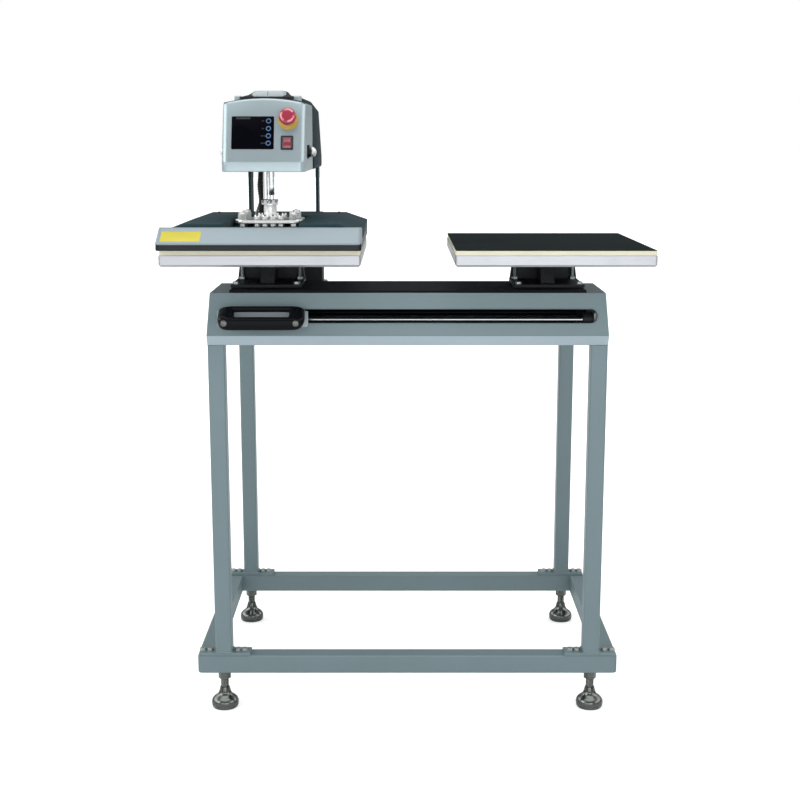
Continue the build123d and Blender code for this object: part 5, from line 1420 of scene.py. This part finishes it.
class PRESS_OT_flange(bpy.types.Operator):
    """Flange of the hot platen with its bolts and spring stacks"""

    bl_idname = "press.flange"
    bl_label = "Flange"

    def execute(self, context):
        low, high = mm_box("spider_flange")
        centre_d = (low.y + high.y) / 2
        width, depth = high.x - low.x, high.y - low.y
        plate_z = low.z + 8.5
        levels = (
            (0.8, low.z), (0.0, low.z + 0.8), (0.0, plate_z - 1.4), (0.5, plate_z - 0.4), (1.4, plate_z),
        )
        form = Form()
        form.stack(spot(0, centre_d), [
            (rounded_rectangle(width - 2 * inset, depth - 2 * inset, 20.0, 10), z) for inset, z in levels
        ])
        form.lathe(spot(0, centre_d), [
            (19.0, plate_z - 0.2), (17.0, plate_z + 0.7), (15.0, plate_z + 2.4), (14.0, plate_z + 5.0),
            (14.0, high.z - 4.0), (13.2, high.z - 3.4), (13.2, high.z - 2.4), (14.0, high.z - 1.8),
            (14.0, high.z),
        ], 48)
        form.build("spider_flange_plated", "zinc", "press", ["spider_flange"], "zinc_steel", 35.0)
        self.bolts(low.z, plate_z, centre_d)
        return {"FINISHED"}

    def bolts(self, low_z, plate_z, centre_d):
        """Two rows of bolts with acorn nuts, and at their ends the stacks of disc springs."""
        form = Form()

        def turned(place, profile, steps):
            form.lathe(place, [(r, plate_z + up) for r, up in profile], steps)

        washer = [(6.4, 0.0), (6.6, 0.3), (6.6, 1.1), (5.6, 1.3)]
        acorn = [(5.6, 4.4), (5.7, 6.0), (5.2, 7.8), (4.0, 9.2), (2.2, 10.0), (0.3, 10.2)]
        disc = [(9.0, 0.0), (10.4, 0.5), (10.4, 1.0), (9.4, 1.4)]
        pitch, discs = 1.8, 6
        springs = [(r, i * pitch + up) for i in range(discs) for r, up in disc]
        stud = threaded(4.9, 10.0, 16.8, sizes().thread, 0.4)
        for row in (-40.0, 40.0):
            for x in (-25.0, -8.0, 9.0, 26.0):
                place = spot(x, centre_d + row)
                turned(place, washer, 28)
                form.hexagon(place, 12.0, plate_z + 1.2, plate_z + 4.6)
                turned(place, acorn, 32)
                form.hexagon(place, 13.0, RECESS_Z, low_z - 0.1)
            for x in (-55.0, 53.0):
                place = spot(x, centre_d + row)
                turned(place, springs, 36)
                form.hexagon(place, 15.0, plate_z + discs * pitch - 0.3, plate_z + 15.8)
                turned(place, stud, 28)
                form.hexagon(place, 16.0, RECESS_Z, low_z - 0.1)
        form.build("flange_bolts_plated", "zinc", "press", ["flange_bolts"], "zinc_steel", 35.0)


class PRESS_OT_hot_cover(bpy.types.Operator):
    """Dark folded cover of the hot platen, with its recess and screws"""

    bl_idname = "press.hot_cover"
    bl_label = "Hot platen cover"

    def execute(self, context):
        low, high = mm_box("platen_cover")
        half = (high.x - low.x) / 2
        rim_z = 33.0
        slope, recess, recess_back = half - 48.0, 76.0, 330.0
        stops = [(-half, low.z), (-half, rim_z), (-slope, high.z), (-recess, high.z)]
        stops += [(-x, z) for x, z in reversed(stops)]
        form = Form()
        front, inner, back = [
            form.ring(spot(), [(x, depth, z) for x, z in stops]) for depth in (low.y, recess_back, high.y)
        ]
        floor = form.ring(spot(), [
            (-recess, low.y, RECESS_Z), (recess, low.y, RECESS_Z),
            (recess, recess_back, RECESS_Z), (-recess, recess_back, RECESS_Z),
        ])
        form.loft([inner, back], closed=False)
        for side in (slice(0, 4), slice(4, 8)):
            form.loft([front[side], inner[side]], closed=False)
        for face in (
            floor,
            (front[3], inner[3], floor[3], floor[0]),
            (front[4], floor[1], floor[2], inner[4]),
            (inner[3], inner[4], floor[2], floor[3]),
            (*front[:4], floor[0], floor[1], *front[4:]),
            list(reversed(back)),
        ):
            form.mesh.faces.new(face)
        cover = form.build(
            "platen_cover_gloss", "cover_paint", thick=sizes().sheet, bevel=1.2, smooth=35.0
        )
        settle(cover)
        join(cover, "press", ["platen_cover"])
        self.screws(low, high)
        coat("dark_anodised", "hot_platen")
        coat("wool", "insulation")
        return {"FINISHED"}

    def screws(self, low, high):
        """Four screws that hold the cover from above."""
        form = Form()
        head = [(4.6, 0.0), (4.6, 0.5), (3.8, 1.5), (2.4, 2.0), (1.6, 2.1), (1.4, 0.9), (0.3, 0.9)]
        for x in (-138.0, 138.0):
            for depth in (low.y + 10.0, high.y - 22.0):
                form.lathe(spot(x, depth, high.z - 0.1), head, 28)
        form.build("platen_cover_screws", "black_plastic", "press", slot="zinc_steel", smooth=40.0)


class PRESS_OT_skirt(bpy.types.Operator):
    """Leaning front skirt with rounded ends and a plain sticker"""

    bl_idname = "press.skirt"
    bl_label = "Skirt"

    def execute(self, context):
        low, high = mm_box("front_skirt")
        half = (high.x - low.x) / 2
        corner = sizes().skirt_corner
        top_d = high.y - 8.0
        levels = (
            (1.6, low.y + 1.6, low.z), (0.4, low.y + 0.4, low.z + 0.2), (0.0, low.y, low.z + 0.9),
            (0.0, low.y, low.z + 2.4), (0.0, low.y + 1.6, low.z + 4.2), (0.0, top_d - 3.4, high.z - 2.2),
            (0.4, top_d - 1.4, high.z - 1.0), (1.3, top_d + 0.6, high.z - 0.2),
            (2.6, top_d + 2.6, high.z), (5.0, high.y - 2.0, high.z),
        )
        form, rings = Form(), []
        for inset, front_d, z in levels:
            reach = half - inset
            bend = min(corner, high.y - front_d - 0.6)
            side = half_round(reach, front_d, bend, (high.y, max(front_d + bend, high.y - 3.0)))
            points = side + [(x, front_d) for x in spread(reach - bend, 20)]
            points += [(-x, d) for x, d in reversed(side)]
            rings.append(form.ring(spot(), [(x, d, z) for x, d in points]))
        form.loft(rings, closed=False)
        form.build("front_skirt_painted", "skirt_paint", "press", ["front_skirt"], "skirt_paint", 45.0, 1.2)
        self.sticker(low, high, top_d)
        return {"FINISHED"}

    def sticker(self, low, high, top_d):
        """A plain sticker on the left of the leaning face."""
        slope = math.atan2(top_d - 3.4 - (low.y + 1.6), high.z - 2.2 - (low.z + 4.2))
        middle_d, middle_z = (top_d - 1.8 + low.y) / 2, (high.z + low.z + 2.0) / 2
        middle_d, middle_z = middle_d - 1.5 * math.tan(slope), middle_z - 1.5
        face = spot(-154.0, middle_d, middle_z) @ Matrix.Rotation(math.pi / 2 - slope, 4, "X")
        outline, top = rounded_rectangle(78.0, 36.0, 1.5), rounded_rectangle(77.6, 35.6, 1.4)
        form = Form()
        form.stack(face, [(outline, -0.5), (outline, 0.25), (top, 0.32)])
        form.build("skirt_sticker", "sticker_yellow", "press", slot="yellow_plastic", smooth=30.0)


class PRESS_OT_leads(bpy.types.Operator):
    """Heater conduit and sensor lead, held by the head and by the hot platen"""

    bl_idname = "press.leads"
    bl_label = "Leads"

    def execute(self, context):
        cable = [
            (-22.0, 309.0, 163.0), (-23.0, 309.0, 139.0), (-26.6, 310.0, 113.0), (-22.4, 312.5, 85.0),
            (-25.5, 315.5, 57.0), (-25.0, 316.0, 36.6), (-25.0, 316.0, 18.6),
        ]
        sensor = [
            (-12.0, 322.0, 163.0), (-13.0, 322.0, 139.0), (-17.0, 323.5, 113.0), (-27.0, 325.0, 85.0),
            (-37.5, 321.5, 57.0), (-40.0, 321.0, 36.6), (-40.0, 321.0, 18.6),
        ]
        self.tube("heater_cable_conduit", "heater_cable", cable, 8.0, "rubber", "black_rubber", True)
        self.tube("sensor_lead_sleeve", "sensor_lead", sensor, 2.4, "sleeve", "grey_sleeve", False)
        return {"FINISHED"}

    def route(self, points):
        """Closely spaced points on the smooth line that the chosen points steer."""
        data = bpy.data.curves.new("route", "CURVE")
        data.dimensions = "3D"
        data.resolution_u = 24
        line = data.splines.new("NURBS")
        line.points.add(len(points) - 1)
        for place, point in zip(line.points, points):
            place.co = (*(PRESS @ Vector(point)), 1.0)
        line.order_u = 3
        line.use_endpoint_u = True
        item = bpy.data.objects.new("route", data)
        bpy.context.collection.objects.link(item)
        bpy.context.view_layer.update()
        made = bpy.data.meshes.new_from_object(item.evaluated_get(bpy.context.evaluated_depsgraph_get()))
        places = [PRESS.inverted() @ v.co for v in made.vertices]
        bpy.data.objects.remove(item)
        bpy.data.curves.remove(data)
        bpy.data.meshes.remove(made)
        return places

    def tube(self, name, node, points, radius, material, slot, ribbed):
        """A round lead along a route, ribbed like a conduit or smooth like a sleeve."""
        places = self.route(points)
        lengths = [0.0]
        for first, second in zip(places, places[1:]):
            lengths.append(lengths[-1] + (second - first).length)
        pitch = sizes().convolution
        count = int(lengths[-1] / pitch * 4) if ribbed else 60
        form, rings, at = Form(), [], 0
        for i in range(count + 1):
            want = lengths[-1] * i / count
            while at < len(places) - 2 and lengths[at + 1] < want:
                at += 1
            step = places[at + 1] - places[at]
            centre = places[at] + step * ((want - lengths[at]) / max(step.length, 1e-6))
            aim = step.normalized()
            right = aim.cross(Vector((0, 1, 0))).normalized()
            front = right.cross(aim)
            reach = radius * (1.0 if i % 4 in (1, 2) else 0.84) if ribbed else radius
            points = [centre + (right * c + front * s) * reach for c, s in circle(24)]
            rings.append(form.ring(spot(), points))
        form.loft(rings)
        piece = form.build(name, material, smooth=50.0)
        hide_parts(node)
        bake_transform(piece)


OPERATORS = (
    PRESS_OT_stage, PRESS_OT_stand, PRESS_OT_feet, PRESS_OT_frame_bolts, PRESS_OT_handle, PRESS_OT_pads,
    PRESS_OT_head_front, PRESS_OT_head_back, PRESS_OT_head_top, PRESS_OT_screen, PRESS_OT_stop_button,
    PRESS_OT_rocker, PRESS_OT_latches, PRESS_OT_rods, PRESS_OT_flange, PRESS_OT_hot_cover, PRESS_OT_skirt,
    PRESS_OT_leads,
)


class VIEW3D_PT_heat_press(bpy.types.Panel):
    """Lists the steps that build the press"""

    bl_label = "Heat Press"
    bl_idname = "VIEW3D_PT_heat_press"
    bl_space_type = "VIEW_3D"
    bl_region_type = "UI"
    bl_category = "Heat Press"

    def draw(self, context):
        for item in OPERATORS:
            self.layout.operator(item.bl_idname)
        for group in (context.scene.press_colours, context.scene.press_sizes):
            for key in group.__annotations__:
                self.layout.prop(group, key)


CLASSES = (PressColours, PressSizes, *OPERATORS, VIEW3D_PT_heat_press)


def register():
    for item in CLASSES:
        bpy.utils.register_class(item)
    bpy.types.Scene.press_colours = PointerProperty(type=PressColours)
    bpy.types.Scene.press_sizes = PointerProperty(type=PressSizes)


def unregister():
    del bpy.types.Scene.press_sizes
    del bpy.types.Scene.press_colours
    for item in reversed(CLASSES):
        bpy.utils.unregister_class(item)


def main():
    register()
    for item in OPERATORS:
        group, name = item.bl_idname.split(".")
        getattr(getattr(bpy.ops, group), name)()


if __name__ == "__main__":
    main()
